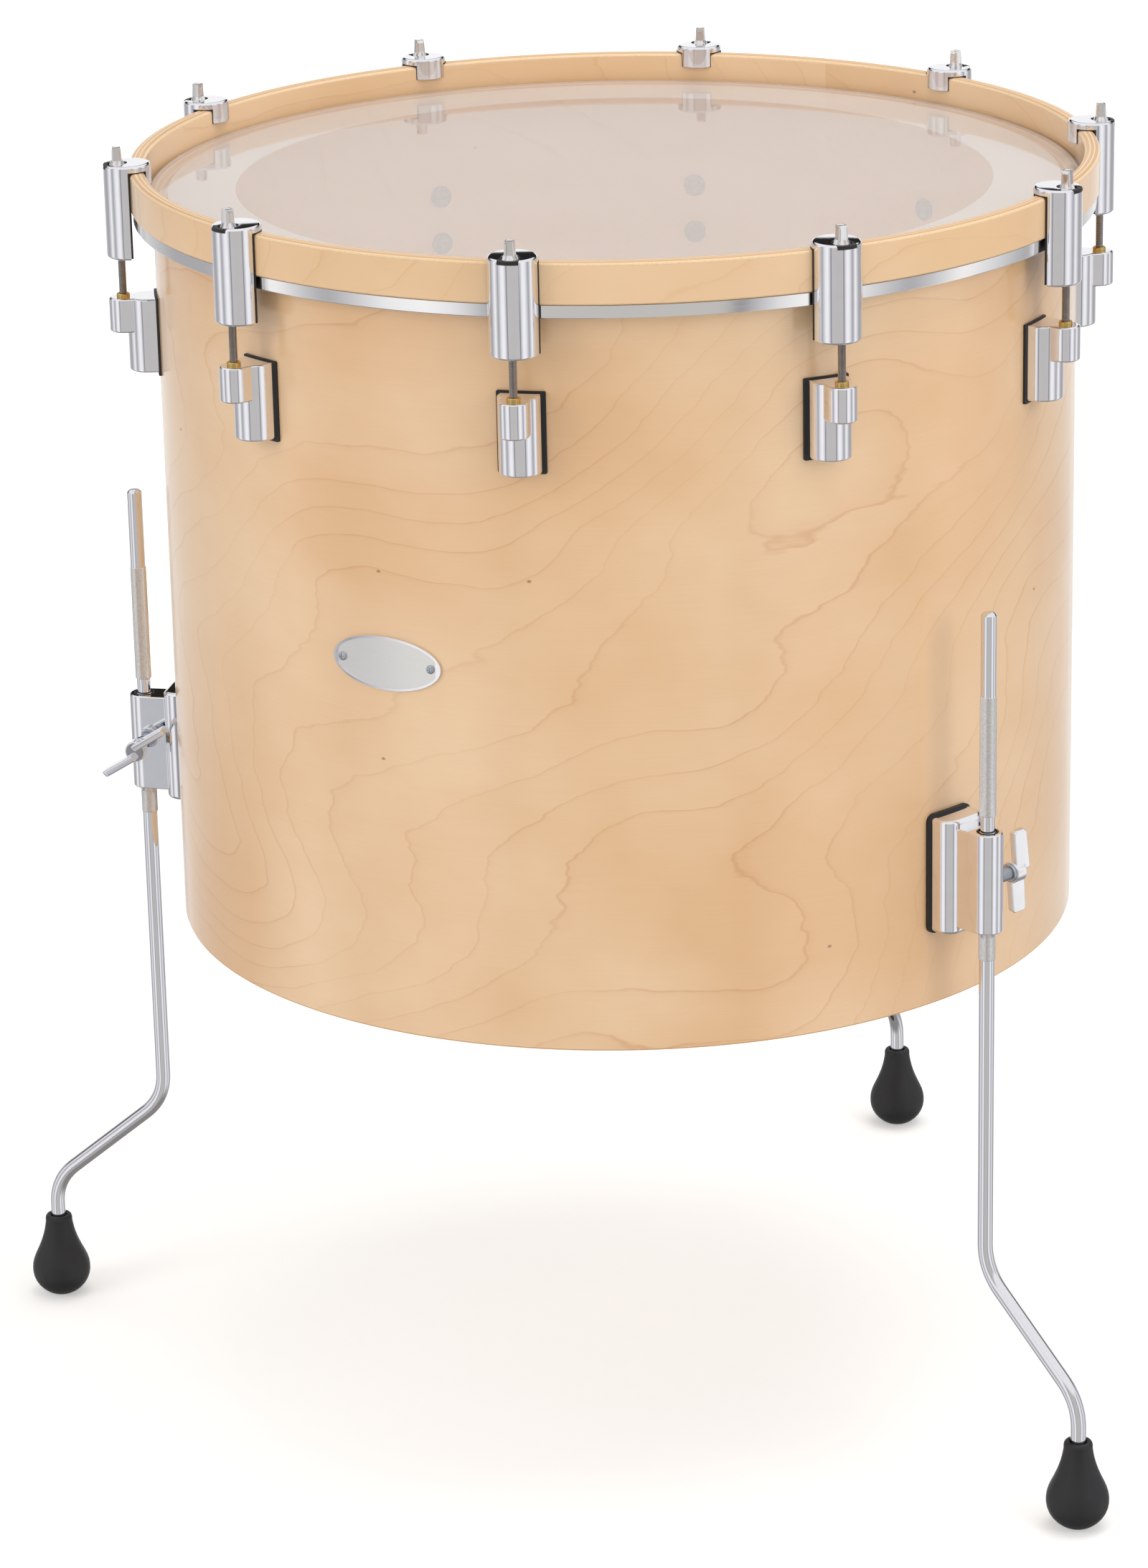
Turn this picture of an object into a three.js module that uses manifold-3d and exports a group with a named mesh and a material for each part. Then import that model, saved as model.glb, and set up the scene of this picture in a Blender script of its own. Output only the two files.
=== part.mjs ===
// Floor tom: an open-bottomed wooden drum that stands on three adjustable legs.
// Millimetres, +Z up. The badge place faces -Y and the origin is under the middle of the whole part.

import * as THREE from 'three';
import { mergeVertices } from 'three/addons/utils/BufferGeometryUtils.js';
import Module from 'manifold-3d';

const wasm = await Module();
wasm.setup();

// Overall sizes
const shellDiameter = 558.8;
const shellDepth = 457.2;
const groundClearance = 310;
const shellRadius = shellDiameter / 2;
const shellBottom = groundClearance;
const edgeHeight = shellBottom + shellDepth;

// Clearances between neighbours, and how far a cutting shape overruns what it cuts
const seatGap = 0.3;
const cutOverrun = 5;

// Facets of the large rings and of the small round pieces
const ringSides = 60;
const columnSides = 20;
const rodSides = 10;
const boreSides = 12;
const screwSides = 8;
const footSides = 16;
const cornerSteps = 3;
const frontSteps = 8;

// Stations round the shell, as angles from the badge place
const fullTurn = 2 * Math.PI;
const lugCount = 10;
const lugPitch = fullTurn / lugCount;
const firstLugAngle = lugPitch / 2;
const legAngles = [2 * lugPitch, 5 * lugPitch, -2 * lugPitch];

// Shell
const shellWall = 8;
const edgeSetback = 2;
const edgeOuterDrop = 1.6;
const rimChamfer = 1;
const shellInnerRadius = shellRadius - shellWall;

// Drumhead film, its skirt over the bearing edge and its bead in the flesh hoop
const filmThickness = 0.5;
const skirtClearance = 1.1;
const skirtThickness = 0.8;
const beadReach = 5.2;
const beadHeight = 2.6;
const filmBottom = edgeHeight + seatGap;
const filmTop = filmBottom + filmThickness;
const skirtInnerRadius = shellRadius + skirtClearance;
const skirtOuterRadius = skirtInnerRadius + skirtThickness;
const beadRadius = skirtOuterRadius + beadReach;

// Underlay ring below the film
const underlayWidth = 40.9;
const underlayEdgeMargin = 1.5;
const underlayThickness = 0.4;
const underlayOuterRadius = shellInnerRadius - underlayEdgeMargin;
const underlayInnerRadius = underlayOuterRadius - underlayWidth;

// Counterhoop
const hoopClearance = 2.1;
const hoopThickness = 9.4;
const hoopHeight = 24.2;
const hoopRise = 17;
const hoopTopRound = 2.6;
const hoopFootChamfer = 0.8;
const hoopRoundSteps = 2;
const hoopInnerRadius = skirtOuterRadius + hoopClearance;
const hoopOuterRadius = hoopInnerRadius + hoopThickness;
const hoopTop = filmTop + hoopRise;
const hoopBottom = hoopTop - hoopHeight;

// Flesh hoop, the channel that holds the bead
const fleshHoopHeight = 7.8;
const fleshHoopInset = 1.5;
const fleshHoopLip = 0.9;
const fleshOuterRadius = hoopOuterRadius - fleshHoopInset;
const fleshInnerRadius = skirtOuterRadius + fleshHoopLip;
const fleshTop = hoopBottom - seatGap;
const fleshBottom = fleshTop - fleshHoopHeight;
const beadMiddle = fleshTop - fleshHoopHeight / 2;

// Tension rods
const rodHoopClearance = 6.7;
const rodRadius = 2.4;
const rodBoreClearance = 0.45;
const keyWidth = 6;
const keyTopWidth = 5.4;
const keyHeight = 9.6;
const flangeRadius = 4.8;
const flangeTopRadius = 3.9;
const flangeThickness = 2;
const washerRadius = 5.8;
const washerThickness = 1.4;
const keySink = 1;
const rodCircleRadius = hoopOuterRadius + rodHoopClearance;

// Claws: a round column of which the back is cut away for the hoop
const clawRadius = 14.4;
const clawRodOffset = 5.8;
const clawHeight = 57.5;
const clawRise = 4.6;
const clawHookDepth = 13.5;
const clawHoopClearance = 0.6;
const clawTopRound = 1.8;
const clawFootRound = 1.8;
const clawRecessRadius = 6.2;
const clawRecessDepth = 3;
const clawBoreRadius = 3.4;
const clawRoundSteps = 1;
const clawAxisRadius = rodCircleRadius - clawRodOffset;
const clawTop = hoopTop + clawRise;
const clawBottom = clawTop - clawHeight;
const clawRecessFloor = clawTop - clawRecessDepth;

// Lugs: a column against the shell with a raised boss for the rod
const lugDrop = 59.8;
const lugHeight = 45.4;
const lugBodyRadius = 12;
const lugBodyCentre = 5.8;
const lugBossRadius = 8.8;
const lugBossHeight = 21;
const lugEdgeRound = 1.2;
const lugGasketThickness = 1.8;
const lugBoreDepth = 19;
const lugRodDepth = 17;
const insertRadius = 4;
const insertRise = 2.2;
const lugScrewSpacing = 31;
const lugTop = edgeHeight - lugDrop;
const lugBottom = lugTop - lugHeight;
const lugMiddle = (lugTop + lugBottom) / 2;
const lugBackRadius = shellRadius + lugGasketThickness + seatGap;
const rodFoot = lugTop - lugRodDepth;

// Screws that hold lugs and brackets through the shell wall
const screwRadius = 3;
const screwHoleRadius = 3.4;
const screwWasherRadius = 7;
const screwWasherThickness = 1.6;
const screwHeadRadius = 4.8;
const screwHeadHeight = 3.2;
const domeShare = 0.6;

// Leg brackets and their gaskets
const bracketGasketWidth = 35.4;
const bracketGasketHeight = 77.2;
const bracketGasketCorner = 5;
const bracketGasketThickness = 2.2;
const bracketWidth = 32.4;
const bracketHeight = 71.6;
const bracketDepth = 14.4;
const bracketFrontRound = 9;
const bracketEdgeRound = 1.4;
const bracketMiddleHeight = 83.3;
const bracketScrewSpacing = 46;
const clampRadius = 9.4;
const clampHeight = 62;
const clampDrop = 5;
const clampRodOffset = 32.4;
const clampBoreRadius = 5.5;
const clampEdgeRound = 0.8;
const bushSeatRadius = 7.4;
const bushSeatDepth = 5;
const bracketMiddle = shellBottom + bracketMiddleHeight;
const bracketTop = bracketMiddle + bracketHeight / 2;
const bracketGasketInner = shellRadius + seatGap;
const bracketGasketOuter = bracketGasketInner + bracketGasketThickness;
const bracketBackRadius = bracketGasketOuter + seatGap;
const bracketFrontRadius = bracketBackRadius + bracketDepth;
const clampTop = bracketTop - clampDrop;
const clampBottom = clampTop - clampHeight;
const clampAxisRadius = shellRadius + clampRodOffset;

// Clamp bushes
const bushRise = 0.7;
const bushBoreRadius = 5.4;

// Legs
const legLength = 559;
const legRadius = 4.7;
const legKnurlRadius = 4.95;
const legNeckRadius = 4.3;
const legTipChamfer = 2.2;
const legUpperPlain = 51;
const legUpperKnurl = 74;
const legNeckLength = 10;
const legLowerKnurl = 80;
const legBendHeight = 144;
const legElbowHeight = 81;
const legReach = 77;
const legBendSetback = 17;
const legBendSteps = 12;
const legSoleDepth = 26;
const legJoinLength = 12;

// Feet
const footRadius = 19.4;
const footHeight = 56;
const footBoreClearance = 0.35;
const footOutlineShares = [
  [0.36, 0], [0.56, 0.035], [0.84, 0.12], [0.98, 0.23], [1, 0.33], [0.94, 0.44],
  [0.72, 0.585], [0.58, 0.71], [0.49, 0.9], [0.46, 0.97], [0.38, 1],
];

// Wing bolts
const wingStemRadius = 3.9;
const wingBoreRadius = 4.4;
const wingTipGap = 0.6;
const wingHubRadius = 6.6;
const wingHubStart = 19.6;
const wingHubLength = 8;
const wingSpan = 51;
const wingShoulderShare = 0.8;
const wingRootStart = 1.6;
const wingRootWidth = 11.5;
const wingTipStart = 0.4;
const wingTipWidth = 11.5;
const wingThickness = 4.4;
const wingTurns = [0.12, 0.9, -0.8];
const wingHeight = (clampTop + clampBottom) / 2;

// Badge plate and its two screws
const badgeWidth = 72;
const badgeHeight = 32.4;
const badgeThickness = 1.3;
const badgeMiddleHeight = 229.5;
const badgeScrewSpacing = 59;
const badgeScrewRadius = 2.6;
const badgeScrewRise = 1.1;
const badgeSides = 24;

const looks = {
  shell: { color: 0xe3be94, roughness: 0.45, metalness: 0 },
  hoop: { color: 0xe6c39b, roughness: 0.4, metalness: 0 },
  aluminium: { color: 0xcdc9c8, roughness: 0.35, metalness: 1 },
  film: { color: 0xd9cac3, roughness: 0.3, metalness: 0 },
  underlay: { color: 0xdcd4ce, roughness: 0.5, metalness: 0 },
  chrome: { color: 0xd8d8dc, roughness: 0.08, metalness: 1 },
  rubber: { color: 0x2b2b2d, roughness: 0.6, metalness: 0 },
};

// Turns a three.js geometry into a closed solid that can be cut and joined
function solidOf(geometry) {
  const bare = geometry.clone();
  bare.deleteAttribute('normal');
  bare.deleteAttribute('uv');
  const merged = mergeVertices(bare);
  const corners = merged.index.array;
  const kept = [];
  for (let i = 0; i < corners.length; i += 3) {
    const [a, b, c] = [corners[i], corners[i + 1], corners[i + 2]];
    if (a !== b && b !== c && c !== a) kept.push(a, b, c);
  }
  return new wasm.Manifold(new wasm.Mesh({
    numProp: 3,
    vertProperties: new Float32Array(merged.getAttribute('position').array),
    triVerts: new Uint32Array(kept),
  }));
}

// Turns a solid back into a three.js geometry
function geometryOf(solid) {
  const mesh = solid.getMesh();
  const geometry = new THREE.BufferGeometry();
  geometry.setAttribute('position', new THREE.BufferAttribute(mesh.vertProperties, mesh.numProp));
  geometry.setIndex(new THREE.BufferAttribute(mesh.triVerts, 1));
  geometry.computeVertexNormals();
  return geometry;
}

// A solid of revolution about Z from a list of [radius, height] points
function turned(points, sides) {
  const outline = points.map(([radius, height]) => new THREE.Vector2(radius, height));
  const geometry = new THREE.LatheGeometry(outline, sides);
  return geometry.rotateX(Math.PI / 2);
}

// A round bar along Z
function barGeometry(radius, bottom, top, sides) {
  return turned([[0, bottom], [radius, bottom], [radius, top], [0, top]], sides);
}

// A round bar along Z that stands at a distance in front of the drum's axis
function bar(radius, bottom, top, sides, distance = 0) {
  return solidOf(barGeometry(radius, bottom, top, sides).translate(0, -distance, 0));
}

// A ring of rectangular section round the drum's axis
function ring(inner, outer, bottom, top) {
  const section = [[inner, bottom], [outer, bottom], [outer, top], [inner, top], [inner, bottom]];
  return solidOf(turned(section, ringSides));
}

// Points of an arc, as [x, y] pairs
function arc(x, y, radius, from, to, steps = cornerSteps) {
  const points = [];
  for (let i = 0; i <= steps; i += 1) {
    const angle = from + ((to - from) * i) / steps;
    points.push([x + radius * Math.cos(angle), y + radius * Math.sin(angle)]);
  }
  return points;
}

// A block by its six faces
function block(left, right, front, back, bottom, top) {
  const geometry = new THREE.BoxGeometry(right - left, back - front, top - bottom);
  return solidOf(geometry.translate((left + right) / 2, (front + back) / 2, (bottom + top) / 2));
}

// An outline in the XY plane raised along Z, with its rims bevelled
function raised(points, bottom, top, bevel) {
  const shape = new THREE.Shape(points.map(([x, y]) => new THREE.Vector2(x, y)));
  const geometry = new THREE.ExtrudeGeometry(shape, {
    depth: top - bottom - 2 * bevel,
    bevelEnabled: true,
    bevelThickness: bevel,
    bevelSize: bevel,
    bevelOffset: -bevel,
    bevelSegments: 1,
  });
  return solidOf(geometry.translate(0, 0, bottom + bevel));
}

// An outline in the XZ plane that runs along Y from a front to a back distance before the drum's axis
function acrossWall(points, front, back) {
  const shape = new THREE.Shape(points.map(([x, z]) => new THREE.Vector2(x, z)));
  const geometry = new THREE.ExtrudeGeometry(shape, { depth: front - back, bevelEnabled: false });
  return solidOf(geometry.rotateX(Math.PI / 2).translate(0, -back, 0));
}

// The plan of a column with a half-round front
function columnPlan(radius, frontCentre, back) {
  return [...arc(0, -frontCentre, radius, -Math.PI, 0, frontSteps), [radius, -back], [-radius, -back]];
}

// A screw through the shell wall, with its washer and domed head inside the drum
function wallScrew(height, outerEnd) {
  const seat = shellInnerRadius * Math.cos(Math.PI / ringSides) - seatGap;
  const washerFace = seat - screwWasherThickness;
  const domeFace = washerFace - screwHeadHeight;
  const domeRadius = screwHeadRadius * domeShare;
  const points = [
    [0, domeFace], [domeRadius, domeFace], [screwHeadRadius, washerFace],
    [screwWasherRadius, washerFace], [screwWasherRadius, seat],
    [screwRadius, seat], [screwRadius, outerEnd], [0, outerEnd],
  ];
  return solidOf(turned(points, screwSides).rotateX(Math.PI / 2).translate(0, 0, height));
}

// The hole for such a screw, at an angle round the drum
function wallHole(height, angle) {
  const inner = shellInnerRadius - cutOverrun;
  const outer = bracketGasketOuter + cutOverrun;
  const geometry = barGeometry(screwHoleRadius, inner, outer, screwSides).rotateX(Math.PI / 2);
  return solidOf(geometry.translate(0, 0, height).rotateZ(angle));
}

// The two heights of a pair of screws about a middle height
function pairHeights(middle, spacing) {
  return [middle - spacing / 2, middle + spacing / 2];
}

// The ply cylinder with its bearing edge on top and a hole for each screw
function makeShell() {
  const profile = [
    [shellInnerRadius, shellBottom + rimChamfer],
    [shellInnerRadius + rimChamfer, shellBottom],
    [shellRadius - rimChamfer, shellBottom],
    [shellRadius, shellBottom + rimChamfer],
    [shellRadius, edgeHeight - edgeOuterDrop],
    [shellRadius - edgeSetback, edgeHeight],
    [shellInnerRadius, edgeHeight - (shellWall - edgeSetback)],
    [shellInnerRadius, shellBottom + rimChamfer],
  ];
  let shell = solidOf(turned(profile, ringSides));
  for (let i = 0; i < lugCount; i += 1) {
    for (const height of pairHeights(lugMiddle, lugScrewSpacing)) {
      shell = shell.subtract(wallHole(height, firstLugAngle + i * lugPitch));
    }
  }
  for (const angle of legAngles) {
    for (const height of pairHeights(bracketMiddle, bracketScrewSpacing)) {
      shell = shell.subtract(wallHole(height, angle));
    }
  }
  return geometryOf(shell);
}

// The film over the drum
function makeFilm() {
  return barGeometry(skirtOuterRadius, filmBottom, filmTop, ringSides);
}

// The skirt that goes down from the film's edge, with the bead that the flesh hoop holds
function makeSkirt() {
  const skirtTop = filmBottom - seatGap;
  const beadTop = beadMiddle + beadHeight / 2;
  const beadBottom = beadMiddle - beadHeight / 2;
  return turned([
    [skirtInnerRadius, beadBottom],
    [beadRadius, beadBottom],
    [beadRadius, beadTop],
    [skirtOuterRadius, beadTop],
    [skirtOuterRadius, skirtTop],
    [skirtInnerRadius, skirtTop],
    [skirtInnerRadius, beadBottom],
  ], ringSides);
}

// The thin ring under the film that damps its edge
function makeUnderlay() {
  const top = filmBottom - seatGap;
  return geometryOf(ring(underlayInnerRadius, underlayOuterRadius, top - underlayThickness, top));
}

// The aluminium channel that holds the film's bead
function makeFleshHoop() {
  const channelTop = beadMiddle + beadHeight / 2 + seatGap;
  const channelBottom = beadMiddle - beadHeight / 2 - seatGap;
  const channelRadius = beadRadius + seatGap;
  return turned([
    [fleshInnerRadius, fleshBottom],
    [fleshOuterRadius, fleshBottom],
    [fleshOuterRadius, fleshTop],
    [fleshInnerRadius, fleshTop],
    [fleshInnerRadius, channelTop],
    [channelRadius, channelTop],
    [channelRadius, channelBottom],
    [fleshInnerRadius, channelBottom],
    [fleshInnerRadius, fleshBottom],
  ], ringSides);
}

// The wooden hoop that the claws pull down
function makeHoop() {
  const round = hoopTopRound;
  const roundHeight = hoopTop - round;
  const profile = [
    [hoopInnerRadius, hoopBottom + hoopFootChamfer],
    [hoopInnerRadius + hoopFootChamfer, hoopBottom],
    [hoopOuterRadius - hoopFootChamfer, hoopBottom],
    [hoopOuterRadius, hoopBottom + hoopFootChamfer],
    ...arc(hoopOuterRadius - round, roundHeight, round, 0, Math.PI / 2, hoopRoundSteps),
    ...arc(hoopInnerRadius + round, roundHeight, round, Math.PI / 2, Math.PI, hoopRoundSteps),
    [hoopInnerRadius, hoopBottom + hoopFootChamfer],
  ];
  return turned(profile, ringSides);
}

// A claw: hooked over the hoop, hanging down outside it, bored for its rod
function makeClaw() {
  const footRound = clawFootRound;
  const profile = [
    [0, clawBottom],
    ...arc(clawRadius - footRound, clawBottom + footRound, footRound, -Math.PI / 2, 0, clawRoundSteps),
    ...arc(clawRadius - clawTopRound, clawTop - clawTopRound, clawTopRound, 0, Math.PI / 2, clawRoundSteps),
    [0, clawTop],
  ];
  const column = solidOf(turned(profile, columnSides).translate(0, -clawAxisRadius, 0));
  const clearInner = hoopInnerRadius - clawHoopClearance;
  const clearOuter = hoopOuterRadius + clawHoopClearance;
  const cutBottom = clawBottom - cutOverrun;
  const channel = ring(clearInner, clearOuter, cutBottom, hoopTop + clawHoopClearance);
  const inside = bar(hoopInnerRadius, cutBottom, clawTop - clawHookDepth, ringSides);
  const bore = bar(clawBoreRadius, cutBottom, clawTop + cutOverrun, boreSides, rodCircleRadius);
  const recess = bar(clawRecessRadius, clawRecessFloor, clawTop + cutOverrun, columnSides, rodCircleRadius);
  const front = -(clawAxisRadius + clawRadius + cutOverrun);
  const notch = block(-clawRecessRadius, clawRecessRadius, front, -rodCircleRadius,
    clawRecessFloor, clawTop + cutOverrun);
  return geometryOf(column.subtract(channel).subtract(inside).subtract(bore).subtract(recess).subtract(notch));
}

// A key rod: washer, flange, square head and threaded shank
function makeRod() {
  const washerBottom = clawRecessFloor + seatGap;
  const flangeBottom = washerBottom + washerThickness;
  const flangeTop = flangeBottom + flangeThickness;
  const shank = solidOf(turned([
    [0, rodFoot],
    [rodRadius, rodFoot],
    [rodRadius, washerBottom],
    [washerRadius, washerBottom],
    [washerRadius, flangeBottom],
    [flangeRadius, flangeBottom],
    [flangeTopRadius, flangeTop],
    [0, flangeTop],
  ], rodSides).translate(0, -rodCircleRadius, 0));
  const corner = Math.SQRT2 / 2;
  const head = new THREE.CylinderGeometry(keyTopWidth * corner, keyWidth * corner, keyHeight, 4);
  head.rotateX(Math.PI / 2).rotateZ(Math.PI / 4);
  head.translate(0, -rodCircleRadius, flangeTop - keySink + keyHeight / 2);
  return geometryOf(shank.add(solidOf(head)));
}

// A lug: body, boss, threaded insert and two wall screws
function makeLug() {
  const back = shellRadius - cutOverrun;
  const bodyCentre = shellRadius + lugBodyCentre;
  const body = raised(columnPlan(lugBodyRadius, bodyCentre, back), lugBottom, lugTop, lugEdgeRound);
  const bossBottom = lugTop - lugBossHeight;
  const boss = raised(columnPlan(lugBossRadius, rodCircleRadius, back), bossBottom, lugTop, lugEdgeRound);
  const insert = bar(insertRadius, lugTop - insertRise, lugTop + insertRise, columnSides / 2, rodCircleRadius);
  const wall = bar(lugBackRadius, lugBottom - cutOverrun, lugTop + cutOverrun, ringSides);
  const boreTop = lugTop + insertRise + cutOverrun;
  const bore = bar(rodRadius + rodBoreClearance, lugTop - lugBoreDepth, boreTop, boreSides, rodCircleRadius);
  let lug = body.add(boss).add(insert).subtract(wall).subtract(bore);
  for (const height of pairHeights(lugMiddle, lugScrewSpacing)) {
    lug = lug.add(wallScrew(height, lugBackRadius + screwRadius));
  }
  return geometryOf(lug);
}

// The outline of a plate with rounded corners, across the wall
function platePlan(width, height, corner, middle) {
  const x = width / 2 - corner;
  const z = height / 2 - corner;
  return [
    ...arc(x, middle - z, corner, -Math.PI / 2, 0),
    ...arc(x, middle + z, corner, 0, Math.PI / 2),
    ...arc(-x, middle + z, corner, Math.PI / 2, Math.PI),
    ...arc(-x, middle - z, corner, Math.PI, 1.5 * Math.PI),
  ];
}

// The rubber plate between a bracket and the shell
function makeBracketGasket() {
  const bottom = bracketMiddle - bracketGasketHeight / 2;
  const top = bracketMiddle + bracketGasketHeight / 2;
  const plan = platePlan(bracketGasketWidth, bracketGasketHeight, bracketGasketCorner, bracketMiddle);
  const face = acrossWall(plan, bracketGasketOuter + cutOverrun, shellInnerRadius);
  let gasket = ring(bracketGasketInner, bracketGasketOuter, bottom, top).intersect(face);
  for (const height of pairHeights(bracketMiddle, bracketScrewSpacing)) {
    gasket = gasket.subtract(wallHole(height, 0));
  }
  return geometryOf(gasket);
}

// The plan of the bracket's base, with its two large front rounds
function basePlan() {
  const x = bracketWidth / 2 - bracketFrontRound;
  const y = -(bracketFrontRadius - bracketFrontRound);
  const back = shellRadius - cutOverrun;
  return [
    ...arc(-x, y, bracketFrontRound, -Math.PI, -Math.PI / 2),
    ...arc(x, y, bracketFrontRound, -Math.PI / 2, 0),
    [bracketWidth / 2, -back],
    [-bracketWidth / 2, -back],
  ];
}

// A leg bracket: base, clamp column with its bores, and two wall screws
function makeBracket() {
  const base = raised(basePlan(), bracketTop - bracketHeight, bracketTop, bracketEdgeRound);
  const plan = columnPlan(clampRadius, clampAxisRadius, shellRadius);
  const clamp = raised(plan, clampBottom, clampTop, clampEdgeRound);
  const wall = bar(bracketBackRadius, clampBottom - bracketHeight, bracketTop + cutOverrun, ringSides);
  const bore = bar(clampBoreRadius, clampBottom - cutOverrun, clampTop + cutOverrun, boreSides, clampAxisRadius);
  const bushTop = clampTop + cutOverrun;
  const bushSeat = bar(bushSeatRadius, clampTop - bushSeatDepth, bushTop, boreSides, clampAxisRadius);
  const sideBore = solidOf(barGeometry(wingBoreRadius, 0, clampRadius + cutOverrun, boreSides)
    .rotateY(Math.PI / 2).translate(0, -clampAxisRadius, wingHeight));
  let bracket = base.add(clamp).subtract(wall).subtract(bore).subtract(bushSeat).subtract(sideBore);
  for (const height of pairHeights(bracketMiddle, bracketScrewSpacing)) {
    bracket = bracket.add(wallScrew(height, bracketBackRadius + screwRadius));
  }
  return geometryOf(bracket);
}

// The ring round the leg at the mouth of the clamp
function makeBush() {
  const bottom = clampTop - bushSeatDepth + seatGap;
  const outer = bushSeatRadius - seatGap;
  const section = [
    [bushBoreRadius, bottom], [outer, bottom], [outer, clampTop + bushRise],
    [bushBoreRadius, clampTop + bushRise], [bushBoreRadius, bottom],
  ];
  return turned(section, boreSides).translate(0, -clampAxisRadius, 0);
}

// The route of the bent foot of a leg
function legBendPath() {
  const foot = clampAxisRadius + legReach;
  const drop = legBendHeight - legElbowHeight;
  const slant = Math.hypot(legReach, drop);
  const outward = (legReach * legBendSetback) / slant;
  const downward = (drop * legBendSetback) / slant;
  const point = (distance, height) => new THREE.Vector3(0, -distance, height);
  const bendTop = point(clampAxisRadius, legBendHeight + legBendSetback);
  const bendEnd = point(clampAxisRadius + outward, legBendHeight - downward);
  const elbowStart = point(foot - outward, legElbowHeight + downward);
  const elbowEnd = point(foot, legElbowHeight - legBendSetback);
  const path = new THREE.CurvePath();
  path.add(new THREE.LineCurve3(point(clampAxisRadius, bendTop.z + legJoinLength), bendTop));
  path.add(new THREE.QuadraticBezierCurve3(bendTop, point(clampAxisRadius, legBendHeight), bendEnd));
  path.add(new THREE.LineCurve3(bendEnd, elbowStart));
  path.add(new THREE.QuadraticBezierCurve3(elbowStart, point(foot, legElbowHeight), elbowEnd));
  path.add(new THREE.LineCurve3(elbowEnd, point(foot, legSoleDepth)));
  return path;
}

// A leg: straight knurled rod with a chamfered tip, then the double bend to the foot
function makeLeg() {
  const knurlTop = legLength - legUpperPlain;
  const neckTop = knurlTop - legUpperKnurl;
  const neckBottom = neckTop - legNeckLength;
  const knurlBottom = neckBottom - legLowerKnurl;
  const rod = solidOf(turned([
    [0, legBendHeight + legBendSetback],
    [legRadius, legBendHeight + legBendSetback],
    [legRadius, knurlBottom],
    [legKnurlRadius, knurlBottom],
    [legKnurlRadius, neckBottom],
    [legNeckRadius, neckBottom],
    [legNeckRadius, neckTop],
    [legKnurlRadius, neckTop],
    [legKnurlRadius, knurlTop],
    [legRadius, knurlTop],
    [legRadius, legLength - legTipChamfer],
    [legRadius - legTipChamfer, legLength],
    [0, legLength],
  ], rodSides).translate(0, -clampAxisRadius, 0));
  const section = new THREE.Shape(arc(0, 0, legRadius, 0, fullTurn, rodSides).slice(1)
    .map(([x, y]) => new THREE.Vector2(x, y)));
  const bend = solidOf(new THREE.ExtrudeGeometry(section, { steps: legBendSteps, extrudePath: legBendPath() }));
  return geometryOf(rod.add(bend));
}

// A pear-shaped rubber foot with a blind hole for the leg
function makeFoot() {
  const outline = footOutlineShares.map(([wide, high]) => [footRadius * wide, footHeight * high]);
  const holeRadius = legRadius + footBoreClearance;
  const holeBottom = legSoleDepth - seatGap;
  const profile = [[0, 0], ...outline, [holeRadius, footHeight], [holeRadius, holeBottom], [0, holeBottom]];
  return turned(profile, footSides).translate(0, -(clampAxisRadius + legReach), 0);
}

// The plan of the wings, on both sides of the hub
function wingPlan() {
  const root = wingHubStart + wingRootStart;
  const tip = wingHubStart + wingTipStart;
  const end = wingSpan / 2;
  const shoulder = wingHubRadius * wingShoulderShare;
  return [
    [tip, -end], [tip + wingTipWidth, -end], [root + wingRootWidth, -shoulder],
    [root + wingRootWidth, shoulder], [tip + wingTipWidth, end], [tip, end],
    [root, shoulder], [root, -shoulder],
  ];
}

// A wing bolt: threaded stem, hub and two flat wings, turned to its resting angle
function makeWingBolt(turn) {
  const stem = barGeometry(wingStemRadius, legKnurlRadius + wingTipGap, wingHubStart + wingHubLength / 2, rodSides);
  const hub = barGeometry(wingHubRadius, wingHubStart, wingHubStart + wingHubLength, boreSides);
  const wings = acrossWall(wingPlan(), wingThickness / 2, -wingThickness / 2);
  const whole = solidOf(stem.rotateY(Math.PI / 2)).add(solidOf(hub.rotateY(Math.PI / 2))).add(wings);
  return geometryOf(whole).rotateX(turn).translate(0, -clampAxisRadius, wingHeight);
}

// The bare oval badge plate, bent to the shell, with its two screws
function makeBadge() {
  const middle = shellBottom + badgeMiddleHeight;
  const outline = arc(0, 0, 1, 0, fullTurn, badgeSides).slice(1)
    .map(([x, z]) => [x * badgeWidth / 2, middle + z * badgeHeight / 2]);
  const inner = shellRadius + seatGap;
  const outer = inner + badgeThickness;
  const face = acrossWall(outline, outer + cutOverrun, shellInnerRadius);
  let badge = ring(inner, outer, middle - badgeHeight, middle + badgeHeight).intersect(face);
  for (const side of [-1, 1]) {
    const profile = [
      [0, inner], [badgeScrewRadius, inner], [badgeScrewRadius, outer],
      [badgeScrewRadius * domeShare, outer + badgeScrewRise], [0, outer + badgeScrewRise],
    ];
    const turn = (side * badgeScrewSpacing) / 2 / shellRadius;
    const screw = turned(profile, rodSides).rotateX(Math.PI / 2).translate(0, 0, middle).rotateZ(turn);
    badge = badge.add(solidOf(screw));
  }
  return geometryOf(badge);
}

// Adds a named mesh with a look of its own at a station round the drum
function place(group, name, geometry, look, angle = 0) {
  const material = new THREE.MeshStandardMaterial(looks[look]);
  material.name = look;
  const mesh = new THREE.Mesh(geometry, material);
  mesh.name = name;
  mesh.rotation.z = angle;
  group.add(mesh);
}

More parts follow.
